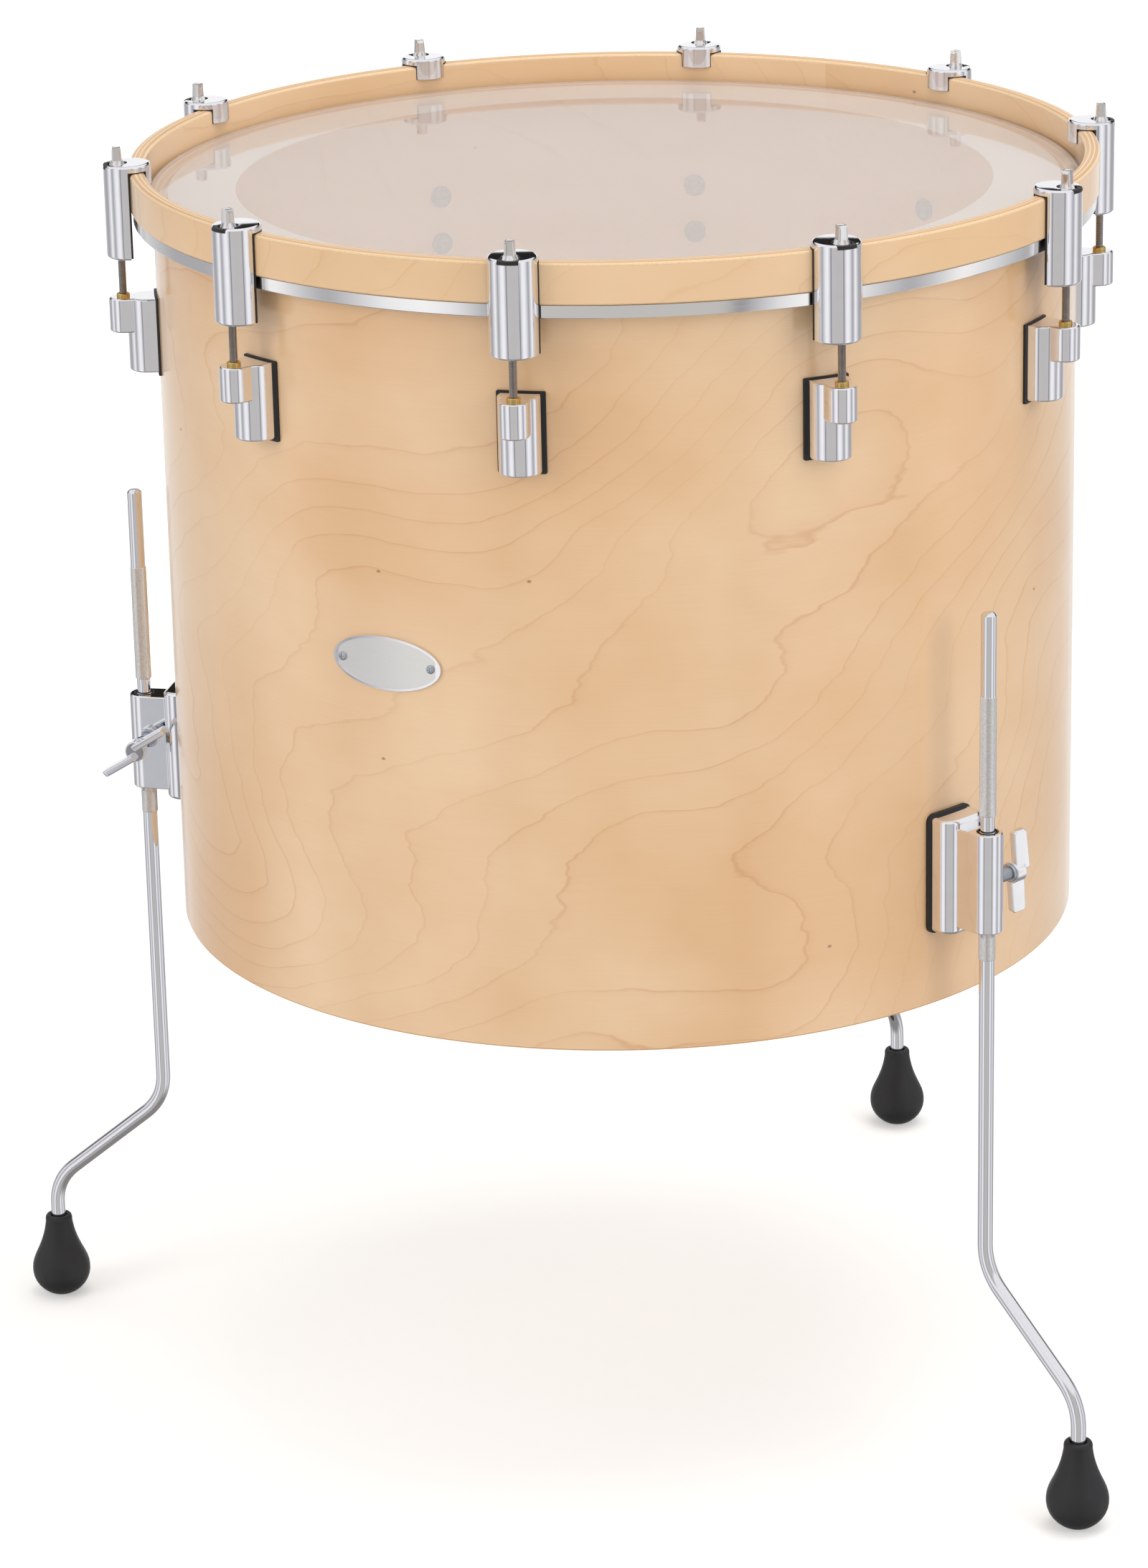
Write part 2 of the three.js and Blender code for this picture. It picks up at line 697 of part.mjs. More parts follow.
// The whole drum, with its axis on Z
function makeDrum() {
  const drum = new THREE.Group();
  place(drum, 'shell', makeShell(), 'shell');
  place(drum, 'drumhead_film', makeFilm(), 'film');
  place(drum, 'drumhead_skirt', makeSkirt(), 'film');
  place(drum, 'underlay_ring', makeUnderlay(), 'underlay');
  place(drum, 'flesh_hoop', makeFleshHoop(), 'aluminium');
  place(drum, 'counterhoop', makeHoop(), 'hoop');
  place(drum, 'badge_plate', makeBadge(), 'chrome');
  const claw = makeClaw();
  const rod = makeRod();
  const lug = makeLug();
  for (let i = 0; i < lugCount; i += 1) {
    const angle = firstLugAngle + i * lugPitch;
    const number = String(i + 1).padStart(2, '0');
    place(drum, `claw_${number}`, claw, 'chrome', angle);
    place(drum, `tension_rod_${number}`, rod, 'chrome', angle);
    place(drum, `lug_${number}`, lug, 'chrome', angle);
  }
  const gasket = makeBracketGasket();
  const bracket = makeBracket();
  const bush = makeBush();
  const leg = makeLeg();
  const foot = makeFoot();
  legAngles.forEach((angle, i) => {
    const number = i + 1;
    place(drum, `bracket_gasket_${number}`, gasket, 'rubber', angle);
    place(drum, `leg_bracket_${number}`, bracket, 'chrome', angle);
    place(drum, `clamp_bush_${number}`, bush, 'rubber', angle);
    place(drum, `leg_${number}`, leg, 'chrome', angle);
    place(drum, `foot_${number}`, foot, 'rubber', angle);
    place(drum, `wing_bolt_${number}`, makeWingBolt(wingTurns[i]), 'chrome', angle);
  });
  return drum;
}

// Stands the drum on the ground with the middle of its plan over the origin
const floorTom = new THREE.Group();
const drum = makeDrum();
floorTom.add(drum);
const extent = new THREE.Box3().setFromObject(drum, true);
const middle = extent.getCenter(new THREE.Vector3());
drum.position.set(-middle.x, -middle.y, -extent.min.z);
floorTom.updateMatrixWorld(true);

export default floorTom;
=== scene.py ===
import math

import bmesh
import bpy
from mathutils import Matrix, Vector


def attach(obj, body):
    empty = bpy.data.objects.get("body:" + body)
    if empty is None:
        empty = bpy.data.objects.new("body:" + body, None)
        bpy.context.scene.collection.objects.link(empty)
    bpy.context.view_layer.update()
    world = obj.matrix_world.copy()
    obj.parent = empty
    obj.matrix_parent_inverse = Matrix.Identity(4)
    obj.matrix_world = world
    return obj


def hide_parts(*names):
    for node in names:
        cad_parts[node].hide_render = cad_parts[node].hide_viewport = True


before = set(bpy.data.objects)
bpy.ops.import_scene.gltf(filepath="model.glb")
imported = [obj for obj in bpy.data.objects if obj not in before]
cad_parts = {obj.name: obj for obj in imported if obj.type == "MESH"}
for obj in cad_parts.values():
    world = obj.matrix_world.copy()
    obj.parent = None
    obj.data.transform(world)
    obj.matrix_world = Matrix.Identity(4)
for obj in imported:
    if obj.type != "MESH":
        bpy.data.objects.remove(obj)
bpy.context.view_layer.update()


# ==== Camera and studio ====
# The drum stands in a white sweep and is seen from the right of its badge place, a little above the head, through
# a long lens. A soft box stands at each side, with the plain room between them and a dark one above the sweep:
# chrome shows all of these as upright bands, and its undersides show the shadow below the drum.

MM = 0.001
camera_place = (1.5293, -2.7912, 1.4757)
camera_heading = math.radians(29.81)
camera_tilt = math.radians(19.31)
camera_roll = math.radians(-1.23)
axis_y = -57.2374 * MM


def colour(code):
    """An sRGB hex colour as the linear one that a socket takes."""
    parts = [int(code[i:i + 2], 16) / 255 for i in (0, 2, 4)]
    return tuple(p / 12.92 if p <= 0.04045 else ((p + 0.055) / 1.055) ** 2.4 for p in parts) + (1.0,)


def add_node(tree, kind, inputs=None, stops=(), **settings):
    """Adds a node with its settings and inputs. A text is a colour, and a node stands for its first live output."""
    made = tree.nodes.new("ShaderNode" + kind)
    for name, value in settings.items():
        setattr(made, name, value)
    for socket, value in (inputs or {}).items():
        if isinstance(value, bpy.types.Node):
            value = next(output for output in value.outputs if output.enabled)
        if isinstance(value, bpy.types.NodeSocket):
            tree.links.new(value, made.inputs[socket])
        else:
            made.inputs[socket].default_value = colour(value) if isinstance(value, str) else value
    for i, (place, code) in enumerate(stops):
        stop = made.color_ramp.elements[i] if i < 2 else made.color_ramp.elements.new(place)
        stop.position = place
        stop.color = colour(code)
    return made


lens = bpy.data.cameras.new("photo_camera")
lens.sensor_width = 36
lens.lens = 121.0
camera = bpy.data.objects.new("photo_camera", lens)
bpy.context.collection.objects.link(camera)
facing = Matrix.Rotation(camera_heading, 4, "Z") @ Matrix.Rotation(math.pi / 2 - camera_tilt, 4, "X")
camera.matrix_world = Matrix.Translation(camera_place) @ facing @ Matrix.Rotation(camera_roll, 4, "Z")
bpy.context.scene.camera = camera
bpy.context.scene.view_settings.view_transform = "Standard"

# What a polished surface sees round the drum, from the middle of the room (0) to behind the sweep (1)
studio = bpy.data.worlds.new("studio")
bpy.context.scene.world = studio
studio.use_nodes = True
tree = studio.node_tree
tree.nodes.clear()
way = add_node(tree, "TexCoord")
way = add_node(tree, "SeparateXYZ", {0: way.outputs["Generated"]})
ahead = add_node(tree, "Math", {0: way.outputs["Y"], 1: -1.0}, operation="MULTIPLY")
heading = add_node(tree, "Math", {0: way.outputs["X"], 1: ahead}, operation="ARCTAN2")
heading = add_node(tree, "Math", {0: heading, 1: camera_heading}, operation="SUBTRACT")
heading = add_node(tree, "Math", {0: heading, 1: math.pi, 2: -math.pi}, operation="WRAP")
heading = add_node(tree, "Math", {0: heading}, operation="ABSOLUTE")
heading = add_node(tree, "Math", {0: heading, 1: math.pi}, operation="DIVIDE")
bands = add_node(tree, "ValToRGB", {0: heading}, [
    (0.0, "c4c2c0"), (0.14, "c6c4c2"), (0.155, "7c7a7d"), (0.172, "b4b4b9"), (0.21, "e8e8ec"), (0.25, "fdfdfd"),
    (0.31, "f2f2f5"), (0.36, "cdcdd1"), (0.40, "a9a9ae"), (0.44, "ccccd0"), (0.49, "fefdfc"), (0.55, "dedee1"),
    (0.62, "adadb1"), (0.72, "aeadb1"), (0.84, "dcdcdd"), (0.9, "f6f6f6"), (1.0, "ffffff"),
])
behind = add_node(tree, "MapRange", {0: heading, 1: 0.55, 2: 0.72}, interpolation_type="SMOOTHSTEP")
above = add_node(tree, "MapRange", {0: way.outputs["Z"], 1: 0.258, 2: 0.268}, interpolation_type="SMOOTHSTEP")
dark = add_node(tree, "Math", {0: behind, 1: above}, operation="MULTIPLY")
room = add_node(tree, "Mix", {0: dark, 6: bands, 7: "262322"}, data_type="RGBA")
# Ceiling, and below it the floor in the drum's shadow: a painted shadow that only reflections see
for low, high, tone in ((0.42, 0.6, "f4f4f6"), (-0.5, -0.8, "8e8c8a")):
    zone = add_node(tree, "MapRange", {0: way.outputs["Z"], 1: low, 2: high}, interpolation_type="SMOOTHSTEP")
    room = add_node(tree, "Mix", {0: zone, 6: room, 7: tone}, data_type="RGBA")
path = add_node(tree, "LightPath")
shiny = add_node(tree, "Math",
                 {0: path.outputs["Is Glossy Ray"], 1: path.outputs["Is Transmission Ray"]}, operation="MAXIMUM")
seen = add_node(tree, "Background", {0: room, 1: 1.0})
light = add_node(tree, "Background", {0: "fdfcfa", 1: 0.66})
white = add_node(tree, "Background", {0: "ffffff", 1: 1.0})
mixed = add_node(tree, "MixShader", {0: shiny, 1: light, 2: seen})
mixed = add_node(tree, "MixShader", {0: path.outputs["Is Camera Ray"], 1: mixed, 2: white})
add_node(tree, "OutputWorld", {0: mixed})


def soft_box(name, place, wide, tall, watts):
    """A soft box aimed at the middle of the drum. Its light is soft, and the bands above stand for how it looks."""
    box = bpy.data.lights.new(name, "AREA")
    box.shape = "RECTANGLE"
    box.size = wide
    box.size_y = tall
    box.energy = watts
    lamp = bpy.data.objects.new(name, box)
    bpy.context.collection.objects.link(lamp)
    lamp.location = place
    lamp.rotation_euler = (Vector((0, axis_y, 0.5)) - Vector(place)).to_track_quat("-Z", "Y").to_euler()
    lamp.visible_glossy = False


soft_box("soft_box_left", (-1.7, -2.9, 1.7), 1.5, 2.0, 28)
soft_box("soft_box_right", (3.1, -0.6, 1.7), 1.5, 2.0, 24)
soft_box("soft_box_overhead", (0.4, 0.3, 3.0), 2.2, 2.2, 37)


def blank_material(name):
    """A material with an empty node tree."""
    made = bpy.data.materials.new(name)
    made.use_nodes = True
    made.node_tree.nodes.clear()
    return made, made.node_tree


# The sweep: pale paper, brought up to white where the camera sees it, so that only the drum's shadow shows
bpy.ops.mesh.primitive_circle_add(vertices=96, radius=9, fill_type="NGON")
sweep = bpy.context.object
sweep.name = "paper_sweep"
sweep.visible_glossy = False
paper, tree = blank_material("white_sweep_paper")
path = add_node(tree, "LightPath")
matt = add_node(tree, "BsdfDiffuse", {0: "e6e5e3"})
away = add_node(tree, "TexCoord")
away = add_node(tree, "VectorMath", {0: away.outputs["Object"]}, operation="LENGTH")
away = add_node(tree, "MapRange", {0: away, 1: 0.9, 2: 2.8, 3: 0.36, 4: 0.8}, interpolation_type="SMOOTHSTEP")
lift = add_node(tree, "Emission", {0: "ffffff", 1: away})
lifted = add_node(tree, "AddShader", {0: matt, 1: lift})
mixed = add_node(tree, "MixShader", {0: path.outputs["Is Camera Ray"], 1: matt, 2: lifted})
add_node(tree, "OutputMaterial", {0: mixed})
sweep.data.materials.append(paper)


# ==== Shell ====
# A cylinder of six maple plies, 22 by 18 inches, glued up in a mould and open at the bottom. Its upper edge is cut
# to a bearing edge, its lower one is plain with broken corners. The outside has a satin lacquer over the face veneer.

shell_radius = 279.4 * MM
shell_wall = 8 * MM
shell_bottom = 310 * MM
shell_depth = 457.2 * MM
edge_setback = 2 * MM
edge_outer_drop = 1.6 * MM
edge_inner_drop = 6 * MM
rim_chamfer = 1 * MM
ply = shell_wall / 6
round_steps = 256
# How near a vert or an edge has to be to a place to be picked by it
near = 0.2 * MM
hair = 0.01 * MM
glue_line = "a87c52"


def mode(kind):
    """Goes to edit mode or back to object mode."""
    bpy.ops.object.mode_set(mode=kind)


def select(*pieces):
    """Selects these pieces alone, and makes the last one active."""
    bpy.ops.object.select_all(action="DESELECT")
    for piece in pieces:
        piece.select_set(True)
    bpy.context.view_layer.objects.active = pieces[-1]


def pick(kind, test):
    """Selects, in edit mode, the verts, edges or faces whose middle and normal pass a test."""
    bpy.ops.mesh.select_mode(type={"verts": "VERT", "edges": "EDGE", "faces": "FACE"}[kind])
    bpy.ops.mesh.select_all(action="DESELECT")
    mesh = bmesh.from_edit_mesh(bpy.context.object.data)
    for part in getattr(mesh, kind):
        if kind == "verts":
            middle, normal = part.co, part.normal
        elif kind == "edges":
            middle, normal = (part.verts[0].co + part.verts[1].co) / 2, part.verts[0].normal
        else:
            middle, normal = part.calc_center_median(), part.normal
        if test(middle, normal):
            part.select_set(True)
    mesh.select_flush_mode()
    bmesh.update_edit_mesh(bpy.context.object.data)


def from_axis(at):
    """How far a point is from the drum's axis."""
    return math.hypot(at.x, at.y - axis_y)


def bevel(test, width, segments):
    """Bevels, in edit mode, the edges whose middle passes a test."""
    pick("edges", lambda at, normal: test(at))
    bpy.ops.mesh.bevel(offset=width, segments=segments)


def weld():
    """Joins the verts that coincide, in edit mode, and turns all faces outwards."""
    bpy.ops.mesh.select_all(action="SELECT")
    bpy.ops.mesh.remove_doubles(threshold=0.5e-6)
    bpy.ops.mesh.normals_make_consistent(inside=False)


def finish_mesh(piece, crease=30):
    """Makes a mesh clean and shades it smooth up to an angle, in degrees."""
    select(piece)
    bpy.ops.object.transform_apply(location=True, rotation=True, scale=True)
    mode("EDIT")
    weld()
    mode("OBJECT")
    bpy.ops.object.shade_smooth_by_angle(angle=math.radians(crease))
    # Large faces stay flat to the eye, and only the roundings between them turn the light
    weighted = piece.modifiers.new("weighted", "WEIGHTED_NORMAL")
    weighted.keep_sharp = True
    bpy.ops.object.modifier_apply(modifier="weighted")


def lacquered_maple(name, leaf, tones, rough, relief, coat):
    """Rotary-cut maple veneer laid round the drum, its figure in pale, middle and line tones, under clear lacquer."""
    made, tree = blank_material(name)
    pale, mid, line = tones
    # The veneer's own flat sheet: arc length round the drum and height, in metres, and a number for the leaf
    place = add_node(tree, "TexCoord")
    place = add_node(tree, "SeparateXYZ", {0: place.outputs["Object"]})
    back = add_node(tree, "Math", {0: axis_y, 1: place.outputs["Y"]}, operation="SUBTRACT")
    round_it = add_node(tree, "Math", {0: place.outputs["X"], 1: back}, operation="ARCTAN2")
    arc = add_node(tree, "Math", {0: round_it, 1: shell_radius}, operation="MULTIPLY")
    sheet = add_node(tree, "CombineXYZ", {0: arc, 1: place.outputs["Z"], 2: leaf})
    # Noises on that sheet, each with its waves to the metre: how the rings wander, how their tone comes and goes over
    # a hand's breadth, broad clouds of tone, and fibres that lie round the drum, 0.5 mm apart
    wander, fade, cloud, fibre = [
        add_node(tree, "TexNoise",
                 {0: add_node(tree, "Mapping", {0: sheet, 3: waves}), "Scale": scale, "Detail": detail})
        for waves, scale, detail in (((1.0, 1.5, 1.0), 2.9, 1.0), ((8.0, 8.0, 1.0), 1.0, 1.0),
                                     ((6.0, 8.0, 1.0), 1.0, 3.0), ((30.0, 1900.0, 1.0), 1.0, 3.0))]
    # Growth rings, cut nearly flat: they climb from left to right, wander, and turn into pointed loops here and there
    climb = add_node(tree, "Math", {0: arc, 1: -15.0}, operation="MULTIPLY")
    ring = add_node(tree, "Math", {0: place.outputs["Z"], 1: 27.0, 2: climb}, operation="MULTIPLY_ADD")
    ring = add_node(tree, "Math", {0: wander, 1: 15.0, 2: ring}, operation="MULTIPLY_ADD")
    # Fibres lie round the drum, so a ring's line breaks into long points along them, and short ones on these
    for grain_scale, depth in (((8.0, 28.0, 1.0), 0.95), ((45.0, 160.0, 1.0), 0.16)):
        ragged = add_node(tree, "Mapping", {0: sheet, 3: grain_scale})
        ragged = add_node(tree, "TexNoise", {0: ragged, "Scale": 1.0, "Detail": 2.0})
        ring = add_node(tree, "Math", {0: ragged, 1: depth, 2: ring}, operation="MULTIPLY_ADD")
    ring = add_node(tree, "Math", {0: ring}, operation="FRACT")
    late = add_node(tree, "ValToRGB", {0: ring}, [
        (0.0, "000000"), (0.4, "101010"), (0.84, "3c3c3c"), (0.93, "707070"), (0.965, "d0d0d0"), (0.99, "303030"),
        (1.0, "000000"),
    ])
    # Some rings are hardly seen
    fade = add_node(tree, "MapRange", {0: fade, 1: 0.38, 2: 0.62, 3: 0.22, 4: 0.7})
    base = add_node(tree, "MapRange", {0: cloud, 1: 0.36, 2: 0.64})
    base = add_node(tree, "Mix", {0: base, 6: pale, 7: mid}, data_type="RGBA")
    weight = add_node(tree, "Math", {0: late, 1: fade}, operation="MULTIPLY")
    base = add_node(tree, "Mix", {0: weight, 6: base, 7: line}, data_type="RGBA")
    streak = add_node(tree, "MapRange", {0: fibre, 1: 0.3, 2: 0.7, 3: 0.0, 4: 0.06})
    base = add_node(tree, "Mix", {0: streak, 6: base, 7: line}, data_type="RGBA")
    # Pin knots: brown flecks 2 mm long, in one cell of seven
    cells = add_node(tree, "Mapping", {0: sheet, 3: (11.0, 17.0, 1.0)})
    cells = add_node(tree, "TexVoronoi", {0: cells, "Scale": 1.0}, voronoi_dimensions="2D")
    fleck = add_node(tree, "MapRange", {0: cells, 1: 0.006, 2: 0.02, 3: 0.8, 4: 0.0})
    chance = add_node(tree, "SeparateColor", {0: cells.outputs["Color"]})
    chance = add_node(tree, "Math", {0: chance, 1: 0.86}, operation="GREATER_THAN")
    fleck = add_node(tree, "Math", {0: fleck, 1: chance}, operation="MULTIPLY")
    base = add_node(tree, "Mix", {0: fleck, 6: base, 7: "8a5a38"}, data_type="RGBA")
    bump = add_node(tree, "Bump", {"Strength": relief, "Distance": 0.05 * MM, "Height": fibre})
    wood = add_node(tree, "BsdfPrincipled",
                    {"Base Color": base, "Roughness": rough, "Normal": bump,
                     "Coat Weight": coat[0], "Coat Roughness": coat[1], "Coat IOR": coat[2]})
    add_node(tree, "OutputMaterial", {0: wood})
    return made


def ply_edge(name, inner, thickness, rough):
    """Sawn and sanded edges of the plies, seen end on: rings of paler and darker wood with thin glue lines."""
    made, tree = blank_material(name)
    place = add_node(tree, "TexCoord")
    place = add_node(tree, "Mapping", {0: place.outputs["Object"], 1: (0.0, -axis_y, 0.0)})
    place = add_node(tree, "SeparateXYZ", {0: place})
    flat = add_node(tree, "CombineXYZ", {0: place.outputs["X"], 1: place.outputs["Y"]})
    reach = add_node(tree, "VectorMath", {0: flat}, operation="LENGTH")
    depth = add_node(tree, "Math", {0: reach, 1: inner}, operation="SUBTRACT")
    layer = add_node(tree, "Math", {0: depth, 1: 2 * thickness}, operation="DIVIDE")
    layer = add_node(tree, "Math", {0: layer}, operation="FRACT")
    tone = add_node(tree, "ValToRGB", {0: layer}, [
        (0.0, glue_line), (0.05, "ecd0ac"), (0.44, "e8caa2"), (0.5, glue_line), (0.55, "d6ae80"), (0.93, "d2a878"),
        (1.0, glue_line),
    ])
    long_grain = add_node(tree, "Mapping", {0: flat, 3: (700.0, 700.0, 700.0)})
    long_grain = add_node(tree, "TexNoise", {0: long_grain, "Scale": 1.0, "Detail": 3.0})
    pore = add_node(tree, "MapRange", {0: long_grain, 1: 0.35, 2: 0.75, 3: 0.0, 4: 0.25})
    tone = add_node(tree, "Mix", {0: pore, 6: tone, 7: "c89868"}, data_type="RGBA")
    relief = add_node(tree, "Bump", {"Strength": 0.3, "Distance": 0.1 * MM, "Height": pore})
    wood = add_node(tree, "BsdfPrincipled", {"Base Color": tone, "Roughness": rough, "Normal": relief})
    add_node(tree, "OutputMaterial", {0: wood})
    return made


bpy.ops.mesh.primitive_cylinder_add(vertices=round_steps, radius=shell_radius, depth=shell_depth,
                                    end_fill_type="NGON", location=(0, axis_y, shell_bottom + shell_depth / 2))
shell = bpy.context.object
shell.name = "maple_shell"
bpy.ops.object.transform_apply(location=True)
mode("EDIT")
pick("faces", lambda at, normal: abs(normal.z) > 0.9)
bpy.ops.mesh.inset(thickness=edge_setback)
bpy.ops.mesh.inset(thickness=shell_wall - edge_setback)
bpy.ops.mesh.delete(type="FACE")
bpy.ops.mesh.select_mode(type="EDGE")
bpy.ops.mesh.select_non_manifold()
bpy.ops.mesh.bridge_edge_loops()
# The top slopes down to both sides of the bearing edge, and the bottom's two corners are broken
top = shell_bottom + shell_depth - hair
bottom = shell_bottom + hair
pick("verts", lambda at, normal: at.z > top and from_axis(at) > shell_radius - near)
bpy.ops.transform.translate(value=(0, 0, -edge_outer_drop))
pick("verts", lambda at, normal: at.z > top and from_axis(at) < shell_radius - shell_wall + near)
bpy.ops.transform.translate(value=(0, 0, -edge_inner_drop))
for radius in (shell_radius, shell_radius - shell_wall):
    bevel(lambda at: at.z < bottom and abs(from_axis(at) - radius) < near, rim_chamfer, 2)
mode("OBJECT")
finish_mesh(shell)

# Face veneer of maple under a satin catalysed lacquer: pale, faintly figured, with a soft sheen at the edges
shell.data.materials.append(lacquered_maple(
    "satin_lacquered_maple", 0.37, ("f2cfa6", "e9bd8d", "cc8c54"), 0.46, 0.12, (1.0, 0.16, 1.62)))
shell.data.materials.append(ply_edge("sanded_maple_ply_edge", shell_radius - shell_wall, ply, 0.6))
for face in shell.data.polygons:
    face.material_index = 1 if abs(face.normal.z) > 0.3 else 0
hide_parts("shell")
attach(shell, "drum_shell")


# ==== Drumhead ====
# One sheet of clear polyester with a hazy coat, its edge heated and turned down over the bearing edge. The bead at
# the end of that skirt is locked into a rolled aluminium channel, the flesh hoop. A thin ring lies under the film's
# edge and damps it, so a paler band shows there.

# From here on, sizes are plain millimetres
edge_height = shell_bottom / MM + shell_depth / MM
film_bottom = edge_height + 0.3
film_top = film_bottom + 0.5
film_reach = 279.9
skirt_inner = 280.5
skirt_outer = 281.3
bead_middle = 756.6
bead_reach = 286.5
bead_half = 1.3
underlay_inner = 229
underlay_outer = 269.9
underlay_bottom = 766.8
underlay_top = 767.2
channel_inner = 282.2
channel_outer = 291.3
channel_bottom = 752.7
channel_top = 760.5
channel_round = 0.7
slot_bottom = 755.0
slot_top = 758.2
slot_reach = 286.8


def drawn(name, profile):
    """Draws a profile of (radius, height) points in millimetres, one after another, and stays in edit mode."""
    bpy.ops.mesh.primitive_plane_add(size=0.1 * MM)
    piece = bpy.context.object
    piece.name = name
    mode("EDIT")
    bpy.ops.mesh.select_mode(type="VERT")
    bpy.ops.mesh.merge(type="CENTER")
    here = profile[0]
    bpy.ops.transform.translate(value=(here[0] * MM, 0, here[1] * MM))
    for point in profile[1:]:
        step = ((point[0] - here[0]) * MM, 0, (point[1] - here[1]) * MM)
        bpy.ops.mesh.extrude_vertices_move(TRANSFORM_OT_translate={"value": step})
        here = point
    return piece


def turned(name, profile, steps, angle=2 * math.pi, filled=False):
    """A profile spun round Z, as a solid of revolution, or as a filled sector of one."""
    piece = drawn(name, profile)
    bpy.ops.mesh.select_all(action="SELECT")
    if filled:
        bpy.ops.mesh.remove_doubles(threshold=0.5e-6)
        bpy.ops.mesh.edge_face_add()
    bpy.ops.mesh.spin(steps=steps, angle=angle, center=(0, 0, 0), axis=(0, 0, 1))
    weld()
    mode("OBJECT")
    return piece


def rounded(x, z, radius, start, end, steps=4):
    """Points of a rounding of a profile, with the angles in degrees."""
    angles = [math.radians(start + (end - start) * i / steps) for i in range(steps + 1)]
    return [(x + radius * math.cos(angle), z + radius * math.sin(angle)) for angle in angles]


def ring_of(inner, outer, low, high):
    """The profile of a plain ring."""
    return [(inner, low), (outer, low), (outer, high), (inner, high), (inner, low)]


def shift(piece, front, up=0.0):
    """Moves a piece's mesh to the front and up, in millimetres."""
    piece.data.transform(Matrix.Translation((0, -front * MM, up * MM)))


def turn(piece, degrees, axis):
    """Turns a piece's mesh about an axis through the origin."""
    piece.data.transform(Matrix.Rotation(math.radians(degrees), 4, axis))


def at_station(model, name, angle=0.0):
    """Copies a piece that was modelled in front of the axis to its place round the drum, with a mesh of its own."""
    piece = model.copy()
    piece.data = model.data.copy()
    piece.name = name
    bpy.context.collection.objects.link(piece)
    piece.data.transform(Matrix.Translation((0, axis_y, 0)) @ Matrix.Rotation(angle, 4, "Z"))
    return piece


film = turned("drumhead_film_sheet", [
    (0, film_bottom), (film_reach, film_bottom), (skirt_inner, film_bottom - 0.6),
    (skirt_inner, bead_middle - bead_half), (bead_reach, bead_middle - bead_half),
    (bead_reach, bead_middle + bead_half), (skirt_outer, bead_middle + bead_half),
    *rounded(skirt_outer - 1.2, film_top - 1.2, 1.2, 0, 90), (0, film_top),
], round_steps)
finish_mesh(film, 40)
shift(film, -axis_y / MM)

# Coated polyester film: a milky, see-through sheet with a smooth face that mirrors the hoop at a flat angle
coated_film, tree = blank_material("coated_polyester_film")
place = add_node(tree, "TexCoord")
haze = add_node(tree, "TexNoise", {0: place.outputs["Object"], "Scale": 9.0, "Detail": 3.0})
haze = add_node(tree, "MapRange", {0: haze, 1: 0.3, 2: 0.7})
milk = add_node(tree, "Mix", {0: haze, 6: "eee3dd", 7: "e9ddd5"}, data_type="RGBA")
speckle = add_node(tree, "TexNoise", {0: place.outputs["Object"], "Scale": 900.0, "Detail": 2.0})
relief = add_node(tree, "Bump", {"Strength": 0.05, "Distance": 0.02 * MM, "Height": speckle})
sheet = add_node(tree, "BsdfPrincipled", {"Base Color": milk, "Roughness": 0.3, "IOR": 1.3, "Alpha": 0.42,
                                          "Coat Weight": 1.0, "Coat Roughness": 0.02, "Coat IOR": 2.2,
                                          "Normal": relief})
add_node(tree, "OutputMaterial", {0: sheet})
film.data.materials.append(coated_film)
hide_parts("drumhead_film", "drumhead_skirt")
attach(film, "drum_head")

underlay = turned("damping_underlay_ring",
                  ring_of(underlay_inner, underlay_outer, underlay_bottom, underlay_top), round_steps)
finish_mesh(underlay)
shift(underlay, -axis_y / MM)


def grained_finish(name, waves, detail, low, high, rough, relief=None, **shader):
    """A finish with one fine grain, so many waves to the metre along X, Y and Z. It mixes two tones, moves the
    roughness if that is a range, and lifts the surface if a relief gives its strength and depth."""
    made, tree = blank_material(name)
    place = add_node(tree, "TexCoord")
    place = add_node(tree, "Mapping", {0: place.outputs["Object"], 3: waves})
    grain = add_node(tree, "TexNoise", {0: place, "Scale": 1.0, "Detail": detail})
    tone = add_node(tree, "Mix", {0: grain, 6: low, 7: high}, data_type="RGBA")
    if isinstance(rough, tuple):
        rough = add_node(tree, "MapRange", {0: grain, 1: 0.3, 2: 0.7, 3: rough[0], 4: rough[1]})
    sockets = {"Base Color": tone, "Roughness": rough, **shader}
    if relief:
        strength, depth = relief
        sockets["Normal"] = add_node(tree, "Bump", {"Strength": strength, "Distance": depth * MM, "Height": grain})
    surface = add_node(tree, "BsdfPrincipled", sockets)
    add_node(tree, "OutputMaterial", {0: surface})
    return made


# Frosted polyester ring: thin, white and dull, with a faint stipple
frosted = grained_finish("frosted_polyester_ring",
                         (1200, 1200, 1200), 2, "f2eeea", "e6e0da", 0.55, (0.2, 0.03), Alpha=0.85)
underlay.data.materials.append(frosted)
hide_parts("underlay_ring")
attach(underlay, "drum_head")

flesh_hoop = turned("aluminium_flesh_hoop", [
    (channel_inner, channel_bottom),
    *rounded(channel_outer - channel_round, channel_bottom + channel_round, channel_round, -90, 0, 3),
    *rounded(channel_outer - channel_round, channel_top - channel_round, channel_round, 0, 90, 3),
    (channel_inner, channel_top), (channel_inner, slot_top), (slot_reach, slot_top), (slot_reach, slot_bottom),
    (channel_inner, slot_bottom), (channel_inner, channel_bottom),
], round_steps)
finish_mesh(flesh_hoop)
shift(flesh_hoop, -axis_y / MM)

# Extruded aluminium, rolled into a ring: silver, with drawn lines along it, 0.2 mm apart
extruded = grained_finish("extruded_aluminium",
                          (6, 6, 5000), 2, "f3f2f1", "fbfaf9", (0.1, 0.17), (0.1, 0.03), Metallic=1)
flesh_hoop.data.materials.append(extruded)
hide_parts("flesh_hoop")
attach(flesh_hoop, "drum_head")


